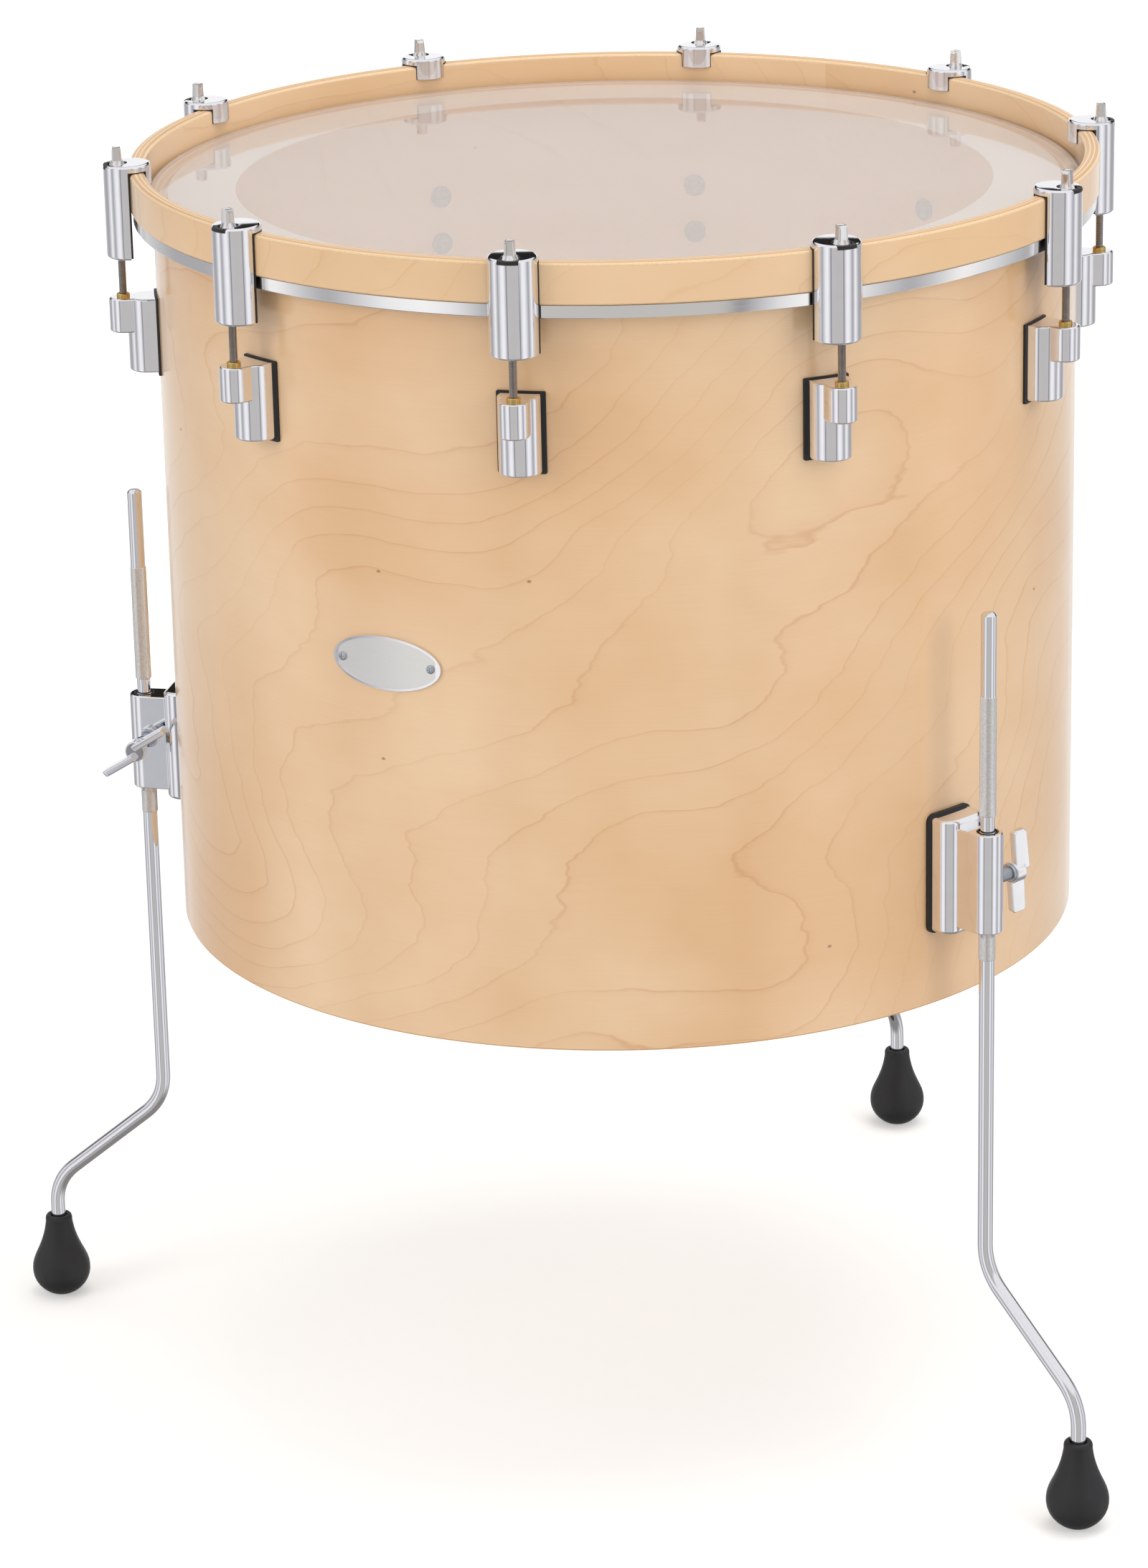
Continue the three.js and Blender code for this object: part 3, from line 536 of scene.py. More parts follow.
# ==== Counterhoop ====
# A maple hoop bent from seven plies, scarfed where its ends meet, with both upper edges rounded over so that the
# plies show as fine lines. It is lacquered glossier than the shell. The claws pull it down on the flesh hoop.

hoop_inner = 283.4
hoop_outer = 292.8
hoop_bottom = 760.8
hoop_top = 785.0
hoop_round = 2.6
hoop_foot = 0.8
hoop_ply = (hoop_outer - hoop_inner) / 7
hoop = turned("maple_counterhoop", [
    (hoop_inner, hoop_bottom + hoop_foot), (hoop_inner + hoop_foot, hoop_bottom),
    (hoop_outer - hoop_foot, hoop_bottom), (hoop_outer, hoop_bottom + hoop_foot),
    *rounded(hoop_outer - hoop_round, hoop_top - hoop_round, hoop_round, 0, 90, 7),
    *rounded(hoop_inner + hoop_round, hoop_top - hoop_round, hoop_round, 90, 180, 7),
    (hoop_inner, hoop_bottom + hoop_foot),
], round_steps)
finish_mesh(hoop, 50)
shift(hoop, -axis_y / MM)

# Bent maple under gloss lacquer: straighter figure than the shell's, since the plies run along the hoop
hoop.data.materials.append(lacquered_maple(
    "gloss_lacquered_maple", 0.81, ("f2cfa6", "e9c192", "dcab78"), 0.4, 0.1, (0.8, 0.12, 1.48)))
hoop.data.materials.append(ply_edge("gloss_maple_ply_edge", hoop_inner * MM, hoop_ply * MM, 0.3))
for face in hoop.data.polygons:
    face.material_index = 1 if abs(face.normal.z) > 0.3 else 0
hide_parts("counterhoop")
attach(hoop, "drum_head")


# ==== Claws ====
# Ten cast zinc claws, polished and chromed: a round column with a hook over the hoop, bored for the key rod, with a
# sunk seat that is open to the front. A black nylon liner keeps the metal off the hoop, and a black nylon block fills
# the seat below the rod's washer.

rod_circle = 299.5
claw_radius = 14.38
claw_axis = 293.7
claw_bottom = 732.1
claw_top = 789.6
claw_seat = 786.6
claw_edge = 1.8
hook_bottom = 776.1
hook_ceiling = 785.6
hook_inner = 283.4
channel_back = 282.8
channel_front = 294.1
rod_hole = 3.4
seat_hole = 6.2
seat_rim = 6.1
seat_floor = 786.85
liner_foot = 733.5
liner_reach = 8
lug_stations = [math.radians(18 + 36 * i) for i in range(10)]


def change(piece, kind, **settings):
    """Puts a modifier on a piece and applies it."""
    select(piece)
    added = piece.modifiers.new("change", kind)
    for name, value in settings.items():
        setattr(added, name, value)
    bpy.ops.object.modifier_apply(modifier="change")


def combine(piece, tool, way="DIFFERENCE"):
    """Cuts a piece with a tool, joins the tool to it or keeps what they share, and takes the tool away."""
    change(piece, "BOOLEAN", operation=way, object=tool, solver="EXACT")
    bpy.data.objects.remove(tool)


def rod_of(radius, bottom, top, distance=0.0, sides=48):
    """A plain round bar along Z at a distance in front of the axis, in millimetres, used as stock or as a drill."""
    bpy.ops.mesh.primitive_cylinder_add(vertices=sides, radius=radius * MM, depth=(top - bottom) * MM,
                                        location=(0, -distance * MM, (top + bottom) / 2 * MM))
    bpy.ops.object.transform_apply(location=True)
    return bpy.context.object


def block_of(left, right, front, back, bottom, top):
    """A plain block by its faces, in millimetres, used as stock or as a cutter."""
    bpy.ops.mesh.primitive_cube_add(size=1, location=((left + right) / 2 * MM, (front + back) / 2 * MM,
                                                      (bottom + top) / 2 * MM))
    bpy.context.object.scale = ((right - left) * MM, (back - front) * MM, (top - bottom) * MM)
    bpy.ops.object.transform_apply(location=True, scale=True)
    return bpy.context.object


def join_to(piece, *others):
    """Makes several bodies one piece."""
    select(*others, piece)
    bpy.ops.object.join()


claw_model = turned("claw", [
    (0, claw_bottom), *rounded(claw_radius - claw_edge, claw_bottom + claw_edge, claw_edge, -90, 0),
    *rounded(claw_radius - claw_edge, claw_top - (claw_edge + 0.3), claw_edge, 0, 90), (0, claw_top - 0.3),
], 72)
mode("EDIT")
# Pulled down by its rod, a claw leans outwards a little
pick("verts", lambda at, normal: at.z > (claw_top - 2.2) * MM)
bpy.ops.transform.rotate(value=math.radians(-1.5), orient_axis="X", center_override=(0, 0, (claw_top - 0.3) * MM))
mode("OBJECT")
shift(claw_model, claw_axis)
# The channel for the hoop, the room below the hook's tip, the rod's hole, and the seat with its open front
combine(claw_model, turned("channel_cutter", ring_of(channel_back, channel_front, 720, hook_ceiling), 360))
combine(claw_model, rod_of(hook_inner, 720, hook_bottom, 0, 360))
combine(claw_model, rod_of(rod_hole, 720, 800, rod_circle, 32))
combine(claw_model, rod_of(seat_hole, claw_seat, 800, rod_circle, 48))
combine(claw_model, block_of(-seat_hole, seat_hole, -320, -rod_circle, claw_seat, 800))
mode("EDIT")
bevel(lambda at: abs(at.z - hook_bottom * MM) < hair, 0.9 * MM, 3)
mode("OBJECT")
finish_mesh(claw_model)

# Chrome plate on polished castings: a bright, cool mirror, with the faint unevenness of buffing
chrome = grained_finish("polished_chrome_plate",
                        (140, 140, 140), 2, "eeeef1", "f5f5f8", (0.02, 0.045), (0.06, 0.08), Metallic=1)
claw_model.data.materials.append(chrome)

# The liner follows the channel's roof and its front wall, and a second leg lies inside the hook's tip
liner_model = turned("liner", [
    (hook_inner, 785.08), (292.86, 785.08), (292.86, liner_foot), (294.04, liner_foot), (294.04, 785.54),
    (hook_inner, 785.54), (hook_inner, 785.08),
], 10, math.radians(liner_reach), True)
turn(liner_model, liner_reach / 2 - 90, "Z")
combine(liner_model, rod_of(claw_radius + 0.35, 700, 800, claw_axis, 72), "INTERSECT")
inner_leg = turned("inner_leg", ring_of(282.86, 283.34, 776.4, 785.5), 10, math.radians(liner_reach), True)
turn(inner_leg, liner_reach / 2 - 90, "Z")
combine(inner_leg, rod_of(claw_radius - 0.1, 700, 800, claw_axis, 72), "INTERSECT")
join_to(liner_model, inner_leg)
finish_mesh(liner_model)

# Moulded black nylon: a soft, even sheen with a fine spark-eroded grain
nylon = grained_finish("moulded_black_nylon", (2500, 2500, 2500), 2, "1c1a19", "2b2826", 0.5, (0.3, 0.05))
liner_model.data.materials.append(nylon)

# A block in front of the rod and a disc below its washer, bored for both
seat_model = block_of(-seat_rim, seat_rim, -310, -rod_circle, claw_seat + 0.05, 788.7)
combine(seat_model, rod_of(claw_radius - 0.3, 780, 795, claw_axis, 72), "INTERSECT")
combine(seat_model, rod_of(seat_rim, claw_seat + 0.05, seat_floor, rod_circle), "UNION")
combine(seat_model, rod_of(5.9, seat_floor, 795, rod_circle))
combine(seat_model, rod_of(2.9, 780, 795, rod_circle))
finish_mesh(seat_model)
seat_model.data.materials.append(nylon)

for number, station in enumerate(lug_stations, 1):
    claw = at_station(claw_model, f"claw_casting_{number:02d}", station)
    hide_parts(f"claw_{number:02d}")
    liner = at_station(liner_model, f"claw_liner_{number:02d}", station)
    seat = at_station(seat_model, f"claw_seat_block_{number:02d}", station)
    for piece in (claw, liner, seat):
        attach(piece, "drum_head")


# ==== Key rods ====
# Ten steel tension rods, turned and thread-rolled, with a square head for a drum key over a fluted flange and a loose
# washer. They hang in the claws' seats and screw into the lugs' brass inserts, a turn of the key at a time.

rod_foot = 690.4
thread_top = 733.5
flange_bottom = 788.0
flange_radius = 4.8
key_bottom = 790.3
key_top = 798.9
key_half = 3.05


def thread_of(name, crest, root, pitch, turns, sides):
    """A rolled thread: one groove's profile wound up along Z from zero, with its ends closed."""
    piece = drawn(name, [(root, 0), (crest, 0.38 * pitch), (crest, 0.62 * pitch), (root, pitch)])
    mode("OBJECT")
    change(piece, "SCREW", steps=sides, render_steps=sides, iterations=turns, screw_offset=pitch * MM)
    mode("EDIT")
    weld()
    bpy.ops.mesh.fill_holes(sides=0)
    weld()
    mode("OBJECT")
    return piece


thread_model = thread_of("rod_thread", 2.4, 1.98, 0.8, 55, 16)
shift(thread_model, rod_circle, rod_foot + 0.1)
finish_mesh(thread_model, 20)

head_model = turned("rod_head", [
    (0, thread_top), (2.35, thread_top), (2.35, flange_bottom), (4.4, flange_bottom), (4.4, flange_bottom + 0.25),
    (0, flange_bottom + 0.25),
], 40)
washer_model = turned("rod_washer", [
    (2.7, 786.95), (5.55, 786.95), (5.8, 787.15), (5.8, 787.6), (5.55, 787.85), (2.7, 787.85), (2.7, 786.95),
], 40)
shift(washer_model, rod_circle)
finish_mesh(washer_model)
washer_model.data.materials.append(nylon)
flange = rod_of(flange_radius, flange_bottom + 0.2, 791.0, 0, 32)
mode("EDIT")
# Eight flutes: every fourth of the 32 verts is drawn in, and the top is narrower
pick("verts", lambda at, normal: round(math.atan2(at.y, at.x) * 16 / math.pi) % 4 == 0)
bpy.ops.transform.resize(value=(0.84, 0.84, 1), center_override=(0, 0, 0))
pick("faces", lambda at, normal: normal.z > 0.9)
bpy.ops.transform.resize(value=(0.72, 0.72, 1), center_override=(0, 0, 0))
mode("OBJECT")
key = block_of(-key_half, key_half, -key_half, key_half, key_bottom, key_top)
mode("EDIT")
# The square tapers to the top, with softer edges there and round corners below
pick("faces", lambda at, normal: normal.z > 0.9)
bpy.ops.transform.resize(value=(0.88, 0.88, 1), center_override=(0, 0, 0))
bevel(lambda at: at.z > (key_top - 0.1) * MM, 1.1 * MM, 3)
bevel(lambda at: (key_bottom + 1.7) * MM < at.z < (key_top - 1) * MM, 1.2 * MM, 4)
mode("OBJECT")
join_to(head_model, flange, key)
shift(head_model, rod_circle)
finish_mesh(head_model)

# Bright nickel on machined steel: the head shines, a touch warmer than the claws
nickel = grained_finish("bright_nickelled_steel",
                        (300, 300, 4000), 2, "e4e2e0", "efedec", (0.04, 0.08), (0.15, 0.03), Metallic=1)
head_model.data.materials.append(nickel)

# Oiled bare steel in the thread: greyer and duller than the head
oiled = grained_finish("oiled_rolled_thread_steel",
                       (400, 400, 400), 2, "a39c97", "c2bbb6", (0.14, 0.24), Metallic=1)
thread_model.data.materials.append(oiled)

for number, station in enumerate(lug_stations, 1):
    head = at_station(head_model, f"key_rod_head_{number:02d}", station)
    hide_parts(f"tension_rod_{number:02d}")
    thread = at_station(thread_model, f"key_rod_thread_{number:02d}", station)
    washer = at_station(washer_model, f"key_rod_washer_{number:02d}", station)
    for piece in (head, thread, washer):
        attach(piece, f"key_rod_{number:02d}")


# ==== Lugs ====
# Ten cast and chromed lugs, each a column against the shell with a shorter boss in front that takes the key rod in a
# brass insert. Two screws with wide washers hold each from inside, over a black rubber gasket that shows all round.

lug_bottom = 662.0
lug_top = 707.4
lug_middle = (lug_bottom + lug_top) / 2
lug_screws = (lug_middle - 15.5, lug_middle + 15.5)
lug_radius = 12.4
lug_axis = 285.2
lug_back = 280.95
boss_radius = 8.8
boss_depth = 21
cast_rim = 1.3
insert_hole = 3.95
rod_bore = 2.8
rod_bore_end = 688.4
wall_face = 279.42


def column_of(name, radius, centre, back, bottom, top, rim):
    """A column with a half-round front: a bar with rounded rims, cut at its middle and drawn back to the wall."""
    piece = rod_of(radius, bottom, top, centre, 98)
    piece.name = name
    mode("EDIT")
    bevel(lambda at: min(abs(at.z - top * MM), abs(at.z - bottom * MM)) < hair, rim * MM, 4)
    bpy.ops.mesh.select_all(action="SELECT")
    bpy.ops.mesh.bisect(plane_co=(0, -centre * MM, 0), plane_no=(0, 1, 0), clear_outer=True, use_fill=True)
    pick("faces", lambda at, normal: normal.y > 0.99 and at.y > -(centre + 0.1) * MM)
    bpy.ops.mesh.extrude_region_move(TRANSFORM_OT_translate={"value": (0, (centre - back) * MM, 0)})
    mode("OBJECT")
    return piece


def plate_of(name, wide, tall, corner, middle, inner, outer):
    """A plate bent to the shell: a block with rounded corners, cut to the curve of the wall."""
    piece = block_of(-wide / 2, wide / 2, -outer - 10, -inner + 20, middle - tall / 2, middle + tall / 2)
    piece.name = name
    mode("EDIT")
    bevel(lambda at: abs(at.x) > (wide / 2 - 0.1) * MM and abs(at.z - middle * MM) > (tall / 2 - 0.1) * MM,
          corner * MM, 6)
    mode("OBJECT")
    combine(piece, turned("wall", ring_of(inner, outer, middle - tall, middle + tall), 720), "INTERSECT")
    return piece


def cross_recess(screw, half, width, bottom, top):
    """Cuts a cross for the driver into a screw's head, from one height to another."""
    for across, along in ((half, width), (width, half)):
        combine(screw, block_of(-across, across, -along, along, bottom, top))


def wall_screw(name):
    """Inside the drum: a wide washer against the wall and a domed head with a cross recess."""
    piece = turned(name, [
        (0, 265.95), (2.2, 265.95), (3.6, 266.5), (4.5, 267.6), (4.8, 269.1), (6.6, 269.1), (7.0, 269.5),
        (7.0, 270.9), (6.7, 271.35), (0, 271.35),
    ], 32)
    cross_recess(piece, 2.6, 0.45, 264, 267.6)
    turn(piece, 90, "X")
    finish_mesh(piece)
    return piece


# The boss ends a hair below the column's top. The back is cut to the gasket's curve, then both bores are drilled.
lug_model = column_of("lug", lug_radius, lug_axis, 272, lug_bottom, lug_top, cast_rim)
boss = column_of("boss", boss_radius, rod_circle, 280, lug_top - boss_depth, lug_top - 0.02, cast_rim)
combine(lug_model, boss, "UNION")
combine(lug_model, rod_of(lug_back, 640, 730, 0, 360))
combine(lug_model, rod_of(insert_hole, lug_top - 3, 730, rod_circle, 32))
combine(lug_model, rod_of(rod_bore, rod_bore_end, 730, rod_circle, 32))
finish_mesh(lug_model)
lug_model.data.materials.append(chrome)

insert_model = turned("insert", [
    (2.6, lug_top - 2.9), (3.9, lug_top - 2.9), (3.9, lug_top), (4.0, lug_top), (4.0, lug_top + 1.8),
    (3.6, lug_top + 2.2), (2.9, lug_top + 2.2), (2.6, lug_top + 1.9), (2.6, lug_top - 2.9),
], 40)
shift(insert_model, rod_circle)
finish_mesh(insert_model)

# Turned brass, left bare: warm yellow with fine tool marks round it
brass = grained_finish("turned_brass", (200, 200, 6000), 1, "cfa85c", "e6c67e", 0.24, (0.3, 0.03), Metallic=1)
insert_model.data.materials.append(brass)

pad_model = plate_of("lug_gasket", 28.4, 47.9, 1.0, lug_middle - 0.5, wall_face, 280.9)
finish_mesh(pad_model)

# Black rubber sheet and mouldings: matt, nearly black, with a fine skin
rubber, tree = blank_material("black_moulded_rubber")
place = add_node(tree, "TexCoord")
skin = add_node(tree, "TexNoise", {0: place.outputs["Object"], "Scale": 1500.0, "Detail": 3.0})
bloom = add_node(tree, "TexNoise", {0: place.outputs["Object"], "Scale": 60.0, "Detail": 2.0})
tone = add_node(tree, "Mix", {0: bloom, 6: "1c1c1e", 7: "252527"}, data_type="RGBA")
dull = add_node(tree, "MapRange", {0: bloom, 1: 0.3, 2: 0.7, 3: 0.42, 4: 0.54})
relief = add_node(tree, "Bump", {"Strength": 0.25, "Distance": 0.06 * MM, "Height": skin})
soft = add_node(tree, "BsdfPrincipled", {"Base Color": tone, "Roughness": dull, "Normal": relief})
add_node(tree, "OutputMaterial", {0: soft})
pad_model.data.materials.append(rubber)

screw_model = wall_screw("wall_screw")

# Zinc-plated steel, passivated: dull, with a cool blue cast; the copy inside the drum is darker, as painted shade
zinc_painted_shade = grained_finish("zinc_with_painted_shade", (500, 500, 500), 2, "5d6066", "74787e", (0.24, 0.38), Metallic=1)
zinc = grained_finish("blue_passivated_zinc", (500, 500, 500), 2, "b9bec6", "d0d4da", (0.24, 0.38), Metallic=1)
# The wall screws inside the drum take the darker copy, whose colour is painted shade
screw_model.data.materials.append(zinc_painted_shade)


def drive_screws(name, station, heights):
    """Two wall screws at a station, the low one and the high one."""
    for end, height in zip(("low", "high"), heights):
        screw = at_station(screw_model, f"{name}_{end}", station)
        shift(screw, 0, height)
        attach(screw, "drum_shell")


for number, station in enumerate(lug_stations, 1):
    lug = at_station(lug_model, f"lug_casting_{number:02d}", station)
    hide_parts(f"lug_{number:02d}")
    insert = at_station(insert_model, f"lug_insert_{number:02d}", station)
    pad = at_station(pad_model, f"lug_gasket_{number:02d}", station)
    for piece in (lug, insert, pad):
        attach(piece, "drum_shell")
    drive_screws(f"lug_wall_screw_{number:02d}", station, lug_screws)


# ==== Badge plate ====
# An oval plate pressed from thin brass, satin brushed and chromed, with a raised polished rim. Two small domed screws
# hold it to the shell. Its face is left bare.

badge_middle = 539.5
badge_half = (36.0, 16.2)
badge_face = 280.55
badge_screw_angle = math.degrees(29.5 / 279.4)


def oval_of(shrink, inner, outer):
    """An oval sheet bent to the shell, a given distance in from the badge's outline."""
    bpy.ops.mesh.primitive_cylinder_add(vertices=128, radius=1, depth=1, rotation=(math.pi / 2, 0, 0),
                                        location=(0, -285 * MM, badge_middle * MM))
    oval = bpy.context.object
    oval.scale = ((badge_half[0] - shrink) * MM, (badge_half[1] - shrink) * MM, 30 * MM)
    bpy.ops.object.transform_apply(location=True, rotation=True, scale=True)
    combine(oval, turned("wall", ring_of(inner, outer, badge_middle - 25, badge_middle + 25), 1080), "INTERSECT")
    return oval


# The face lies 0.45 mm below the rim
badge_model = oval_of(0.05, wall_face, 281.0)
combine(badge_model, oval_of(1.5, badge_face, 282.5))
finish_mesh(badge_model)
badge_model.name = "badge"
for side in (-1, 1):
    screw = turned("badge_screw", [
        (0, 279.6), (2.6, 279.6), (2.6, 281.15), (2.35, 281.6), (1.7, 281.95), (0.9, 282.08), (0, 282.1),
    ], 32)
    cross_recess(screw, 1.5, 0.28, 281.5, 283)
    turn(screw, 90, "X")
    shift(screw, 0, badge_middle)
    turn(screw, side * badge_screw_angle, "Z")
    finish_mesh(screw)
    screw.data.materials.append(zinc)
    screw_piece = at_station(screw, f"badge_screw_{'left' if side < 0 else 'right'}")
    bpy.data.objects.remove(screw)
    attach(screw_piece, "drum_shell")

# Satin chrome: brushed lengthwise, 0.15 mm between the lines, so that it reads pale and pearly
satin_chrome = grained_finish("satin_brushed_chrome",
                              (60, 60, 6500), 2, "f0ede7", "fbf9f5", (0.3, 0.42), (0.25, 0.02), Metallic=1)
badge_model.data.materials.append(chrome)
badge_model.data.materials.append(satin_chrome)
# The face is brushed, and the rim stays polished
for face in badge_model.data.polygons:
    at = face.center
    across = (at.x / (badge_half[0] * MM)) ** 2 + ((at.z - badge_middle * MM) / (badge_half[1] * MM)) ** 2
    face.material_index = 1 if across < 0.8 and math.hypot(at.x, at.y) < 280.7 * MM else 0
badge = at_station(badge_model, "badge_oval_plate")
bpy.data.objects.remove(badge_model)
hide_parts("badge_plate")
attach(badge, "drum_shell")


# ==== Leg brackets ====
# Three cast and chromed brackets: a thick plate with broad rounded front edges, and a clamp column in front with a
# bore for the leg. A black bush rings the leg at the mouth, and a rubber gasket lies between bracket and shell.

leg_stations = [math.radians(72), math.radians(180), math.radians(-72)]
bracket_bottom = 357.5
bracket_top = 429.1
bracket_middle = (bracket_bottom + bracket_top) / 2
bracket_screws = (bracket_middle - 23, bracket_middle + 23)
bracket_front = 296.6
bracket_half = 16.2
bracket_back = 281.95
front_round = 9
clamp_axis = 311.8
clamp_radius = 9.4
clamp_top = 424.1
clamp_bottom = 362.1
leg_bore = 5.5
bush_bore = 6.7
bush_bottom = 419.1
wing_height = (clamp_top + clamp_bottom) / 2

bracket_model = block_of(-bracket_half, bracket_half, -bracket_front, -270, bracket_bottom, bracket_top)
bracket_model.name = "bracket"
mode("EDIT")
# First the two upright front edges, then the front of the top and of the bottom
bevel(lambda at: abs(at.x) > 15 * MM and at.y < -296 * MM and abs(at.z - bracket_middle * MM) < 10 * MM,
      front_round * MM, 12)
bevel(lambda at: at.y < -271 * MM and abs(at.z - bracket_middle * MM) > 35.7 * MM, 2.8 * MM, 6)
mode("OBJECT")
clamp = column_of("clamp", clamp_radius, clamp_axis, 285, clamp_bottom, clamp_top, 1.1)
mode("EDIT")
# The mould's draught: its sides spread a little towards the shell
pick("verts", lambda at, normal: at.y > -290 * MM)
bpy.ops.transform.resize(value=(1.1, 1, 1), center_override=(0, 0, 0))
mode("OBJECT")
combine(bracket_model, clamp, "UNION")
# The back is cut to the gasket's curve. The leg's bore is wider at the bush, and the wing bolt's comes from the side.
combine(bracket_model, rod_of(bracket_back, 340, 440, 0, 360))
combine(bracket_model, rod_of(leg_bore, 350, 440, clamp_axis, 48))
combine(bracket_model, rod_of(bush_bore, bush_bottom, 440, clamp_axis, 48))
side_bore = rod_of(4.4, 0, 20)
turn(side_bore, 90, "Y")
shift(side_bore, clamp_axis, wing_height)
combine(bracket_model, side_bore)
finish_mesh(bracket_model)
bracket_model.data.materials.append(chrome)

bush_model = turned("bush", [
    (5.4, 419.4), (6.5, 419.4), (6.5, 424.1), (6.1, 424.5), (5.7, 424.5), (5.4, 424.2), (5.4, 419.4),
], 48)
shift(bush_model, clamp_axis)
finish_mesh(bush_model)
bush_model.data.materials.append(nylon)

gasket_model = plate_of("bracket_pad", 35.4, 74.6, 5, bracket_middle, wall_face, 281.9)
finish_mesh(gasket_model)
gasket_model.data.materials.append(rubber)

for number, station in enumerate(leg_stations, 1):
    bracket = at_station(bracket_model, f"bracket_casting_{number}", station)
    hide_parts(f"leg_bracket_{number}")
    gasket = at_station(gasket_model, f"bracket_pad_{number}", station)
    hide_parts(f"bracket_gasket_{number}")
    for piece in (bracket, gasket):
        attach(piece, "drum_shell")
    drive_screws(f"bracket_wall_screw_{number}", station, bracket_screws)
    bush = at_station(bush_model, f"clamp_bush_ring_{number}", station)
    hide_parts(f"clamp_bush_{number}")
    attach(bush, f"leg_bush_{number}")


# ==== Legs ====
# Three steel rods of 9.4 mm, chromed. Each has two lengths of diamond knurl with a plain neck between them, a
# chamfered tip, and a double bend at the foot that carries it outwards to stand wide.

leg_radius = 4.7
neck_radius = 4.3
point_radius = 5.1
knurl_low = (344.0, 424.0)
knurl_high = (434.0, 508.0)
leg_top = 559.0
bend_height = 144.0
elbow_height = 81.0
bend_reach = 77.0
setback = 17.0
leg_end = 26.0
knurl_pitch = 1.07
knurl_points = 58


def knurl_rows(low, high):
    """The points of a knurl's rows, half a pitch apart."""
    rows = round((high - low) / (knurl_pitch / 2))
    return [(leg_radius, low + (high - low) * i / rows) for i in range(1, rows)]


def eased(a, b, c, steps):
    """Points of the smooth corner from a to c that has b as its tip."""
    shares = [i / steps for i in range(1, steps + 1)]
    return [a * (1 - t) ** 2 + b * 2 * t * (1 - t) + c * t * t for t in shares]


leg_model = turned("leg", [
    (leg_radius, bend_height + setback), (leg_radius, knurl_low[0]), *knurl_rows(*knurl_low),
    (leg_radius, knurl_low[1]), (neck_radius, knurl_low[1] + 0.2), (neck_radius, knurl_high[0] - 0.2),
    (leg_radius, knurl_high[0]), *knurl_rows(*knurl_high), (leg_radius, knurl_high[1]),
    (leg_radius, leg_top - 2.0), (3.9, leg_top - 0.9), (2.6, leg_top - 0.15), (2.2, leg_top), (0, leg_top),
], knurl_points)
shift(leg_model, clamp_axis)
select(leg_model)
mode("EDIT")


def on_knurl(at):
    """True for every other point of the knurl's grid, which the rollers leave standing."""
    for low, high in (knurl_low, knurl_high):
        if low * MM + hair < at.z < high * MM - hair:
            rows = round((high - low) / (knurl_pitch / 2))
            row = round((at.z / MM - low) / (high - low) * rows)
            column = round(math.atan2(at.y + clamp_axis * MM, at.x) * knurl_points / (2 * math.pi))
            return (row + column) % 2 == 0
    return False


pick("verts", lambda at, normal: on_knurl(at))
raise_by = point_radius / leg_radius
bpy.ops.transform.resize(value=(raise_by, raise_by, 1), center_override=(0, -clamp_axis * MM, 0))
pick("faces", lambda at, normal: any(low * MM < at.z < high * MM for low, high in (knurl_low, knurl_high)))
bpy.ops.mesh.quads_convert_to_tris(quad_method="SHORTEST_DIAGONAL")
# The lower end is drawn down round both bends, ring by ring
heel = Vector((0, -clamp_axis, bend_height))
ankle = Vector((0, -clamp_axis - bend_reach, elbow_height))
slope = (ankle - heel).normalized()
up = Vector((0, 0, 1))
route = [heel + up * setback]
route += eased(heel + up * setback, heel, heel + slope * setback, 12)
route += [ankle - slope * setback]
route += eased(ankle - slope * setback, ankle, ankle - up * setback, 12)
route += [Vector((0, ankle.y, leg_end))]
pick("verts", lambda at, normal: at.z < (bend_height + setback + 0.01) * MM)
lean = 0.0
for i in range(1, len(route)):
    step = route[i] - route[i - 1]
    ahead = route[min(i + 1, len(route) - 1)] - route[i]
    along = step.normalized() + (ahead.normalized() if ahead.length > 0 else step.normalized())
    new_lean = math.atan2(-along.y, -along.z)
    bpy.ops.mesh.extrude_region_move(TRANSFORM_OT_translate={"value": step * MM})
    bpy.ops.transform.rotate(value=new_lean - lean, orient_axis="X", center_override=route[i] * MM)
    lean = new_lean
bpy.ops.mesh.edge_face_add()
mode("OBJECT")
finish_mesh(leg_model, 35)
bpy.ops.mesh.customdata_custom_splitnormals_clear()

# Chromed drawn rod: a bright mirror with faint lines along the drawing, and dull where the knurl breaks it up
chromed_rod = grained_finish("chromed_drawn_steel_rod",
                             (900, 900, 12), 2, "e6e6ea", "f2f2f5", (0.03, 0.06), Metallic=1)
leg_model.data.materials.append(chromed_rod)

# The knurl's points are chromed over too, but stay rougher than the drawn rod
knurled = grained_finish("chromed_diamond_knurl",
                         (900, 900, 900), 2, "e2e0de", "f5f4f3", 0.12, (0.05, 0.05), Metallic=1)
leg_model.data.materials.append(knurled)
for face in leg_model.data.polygons:
    height = face.center.z / MM
    if any(low < height < high for low, high in (knurl_low, knurl_high)):
        face.material_index = 1
        face.use_smooth = False


# ==== Feet ====
# Pear-shaped rubber feet, moulded over the ends of the legs: a round lip at the neck, a full belly and a narrow sole,
# with the moulder's ring mark on the side.

foot_radius = 19.3
foot_profile = [
    (0, 0), (5.2, 0), (7.0, 0.15), (11.1, 1.9), (16.2, 6.7), (18.9, 12.6), (foot_radius, 18.4), (18.3, 24.3),
    (14.2, 32.3), (11.4, 39.3), (9.7, 45.6), (8.95, 50.2), (8.75, 51.9), (8.85, 52.5), (8.85, 53.6), (8.4, 55.2),
    (7.4, 55.95), (6.3, 56.0), (5.3, 55.6), (5.05, 54.5), (5.05, leg_end), (0, leg_end),
]
foot_model = turned("foot", foot_profile, 48)
change(foot_model, "SUBSURF", levels=1, render_levels=1)
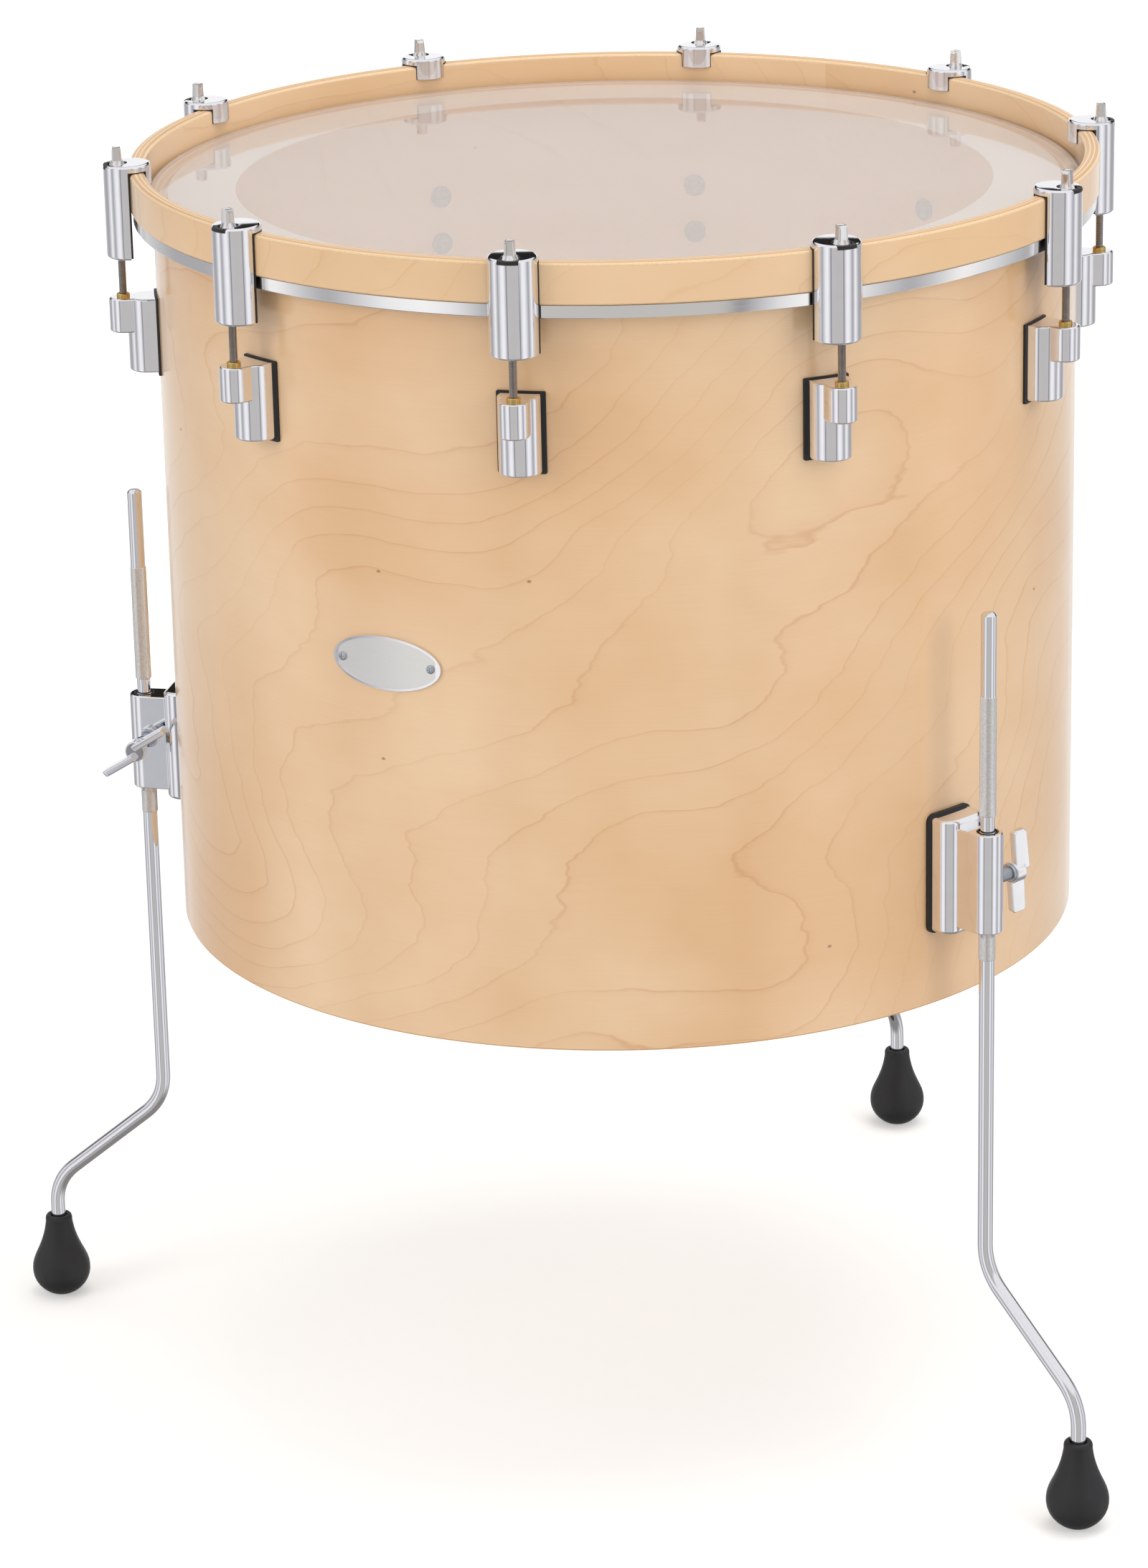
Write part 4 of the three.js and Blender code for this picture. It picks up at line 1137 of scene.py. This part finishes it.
# The mould's ring mark: a groove 0.2 mm deep, cut by a tube whose inner end is a slightly smaller foot
groove = rod_of(8.1, 10, 40)
combine(groove, rod_of(7.5, 0, 50))
turn(groove, 90, "X")
shift(groove, 0, 15)
smaller = turned("smaller_foot", [(max(0, x - 0.22), z) for x, z in foot_profile if z < 54], 48)
combine(groove, smaller)
combine(foot_model, groove)
finish_mesh(foot_model, 60)
foot_model.data.materials.append(rubber)
foot_marks = [math.radians(-72), math.radians(-60), math.radians(97)]

for number, (station, mark) in enumerate(zip(leg_stations, foot_marks), 1):
    # Each foot has been pushed on with its mark facing another way
    foot_stand = Matrix.Translation((0, -(clamp_axis + bend_reach) * MM, 0)) @ Matrix.Rotation(mark, 4, "Z")
    foot_model.data.transform(foot_stand)
    leg = at_station(leg_model, f"chromed_leg_{number}", station)
    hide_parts(f"leg_{number}")
    foot = at_station(foot_model, f"rubber_foot_{number}", station)
    foot_model.data.transform(foot_stand.inverted())
    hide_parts(f"foot_{number}")
    for piece in (leg, foot):
        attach(piece, f"leg_rod_{number}")


# ==== Wing bolts ====
# Three cast wing bolts, chromed, that turn by hand in the side of each clamp and press on the leg. The stem is
# zinc-plated with a coarse thread and ends in a small collar below the hub.

wing_turns = [0.12, 0.9, -0.8]
hub_radius = 6.6
hub_start = 19.6
hub_end = 27.6
blade_inner = 20.6
blade_outer = 32.4
blade_tip = 25.4
blade_half = 2.2
blade_offset = 2.6
blade_lean = 0.22

# The hub is modelled upright and laid along X, where the two blades grow out of it
wing_model = rod_of(hub_radius, hub_start, hub_end, 0, 48)
wing_model.name = "wing"
mode("EDIT")
bevel(lambda at: at.z > (hub_end - 0.1) * MM or at.z < (hub_start + 0.1) * MM, 0.8 * MM, 3)
mode("OBJECT")
turn(wing_model, 90, "Y")
for side in (-1, 1):
    blade = block_of(blade_inner, blade_outer, -blade_half, blade_half, 2, blade_tip)
    mode("EDIT")
    # Narrower towards the tip, where both corners are rounded
    pick("verts", lambda at, normal: at.z > 25 * MM and at.x > 30 * MM)
    bpy.ops.transform.translate(value=(-0.9 * MM, 0, 0))
    bevel(lambda at: at.z > 25 * MM and abs(at.y) < 0.1 * MM, 2.2 * MM, 6)
    mode("OBJECT")
    change(blade, "BEVEL", width=0.9 * MM, segments=4, limit_method="ANGLE", angle_limit=math.radians(60))
    # Each blade starts at one side of the hub and leans across its middle
    blade.data.transform(
        Matrix(((1, 0, 0, 0), (0, 1, blade_lean, -blade_offset * MM), (0, 0, 1, 0), (0, 0, 0, 1))))
    if side < 0:
        turn(blade, 180, "X")
    combine(wing_model, blade, "UNION")
finish_mesh(wing_model, 40)
wing_model.data.materials.append(chrome)

stem_model = thread_of("stem_thread", 3.9, 3.25, 1.25, 10, 20)
shift(stem_model, 0, 5.6)
collar = turned("collar", [
    (0, 5.58), (3.1, 5.58), (3.1, 18.0), (5.2, 18.0), (5.5, 18.3), (5.5, 19.4), (5.2, 19.65), (0, 19.65),
], 32)
join_to(stem_model, collar)
turn(stem_model, 90, "Y")
finish_mesh(stem_model, 25)
stem_model.data.materials.append(zinc)

for number, (station, set_at) in enumerate(zip(leg_stations, wing_turns), 1):
    wing = at_station(wing_model, f"wing_bolt_casting_{number}")
    stem = at_station(stem_model, f"wing_bolt_stem_{number}")
    for piece in (wing, stem):
        piece.data.transform(Matrix.Translation((0, -axis_y, 0)))
        piece.data.transform(Matrix.Rotation(set_at, 4, "X"))
        piece.data.transform(Matrix.Translation((0, axis_y, 0)) @ Matrix.Rotation(station, 4, "Z")
                             @ Matrix.Translation((0, -clamp_axis * MM, wing_height * MM)))
        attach(piece, f"wing_{number}")
    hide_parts(f"wing_bolt_{number}")

# The models that the pieces were copied from are taken away
for model in (claw_model, liner_model, seat_model, head_model, thread_model, washer_model, lug_model, insert_model,
              pad_model, screw_model, bracket_model, bush_model, gasket_model, leg_model, foot_model, wing_model,
              stem_model):
    bpy.data.objects.remove(model)

bpy.context.view_layer.update()
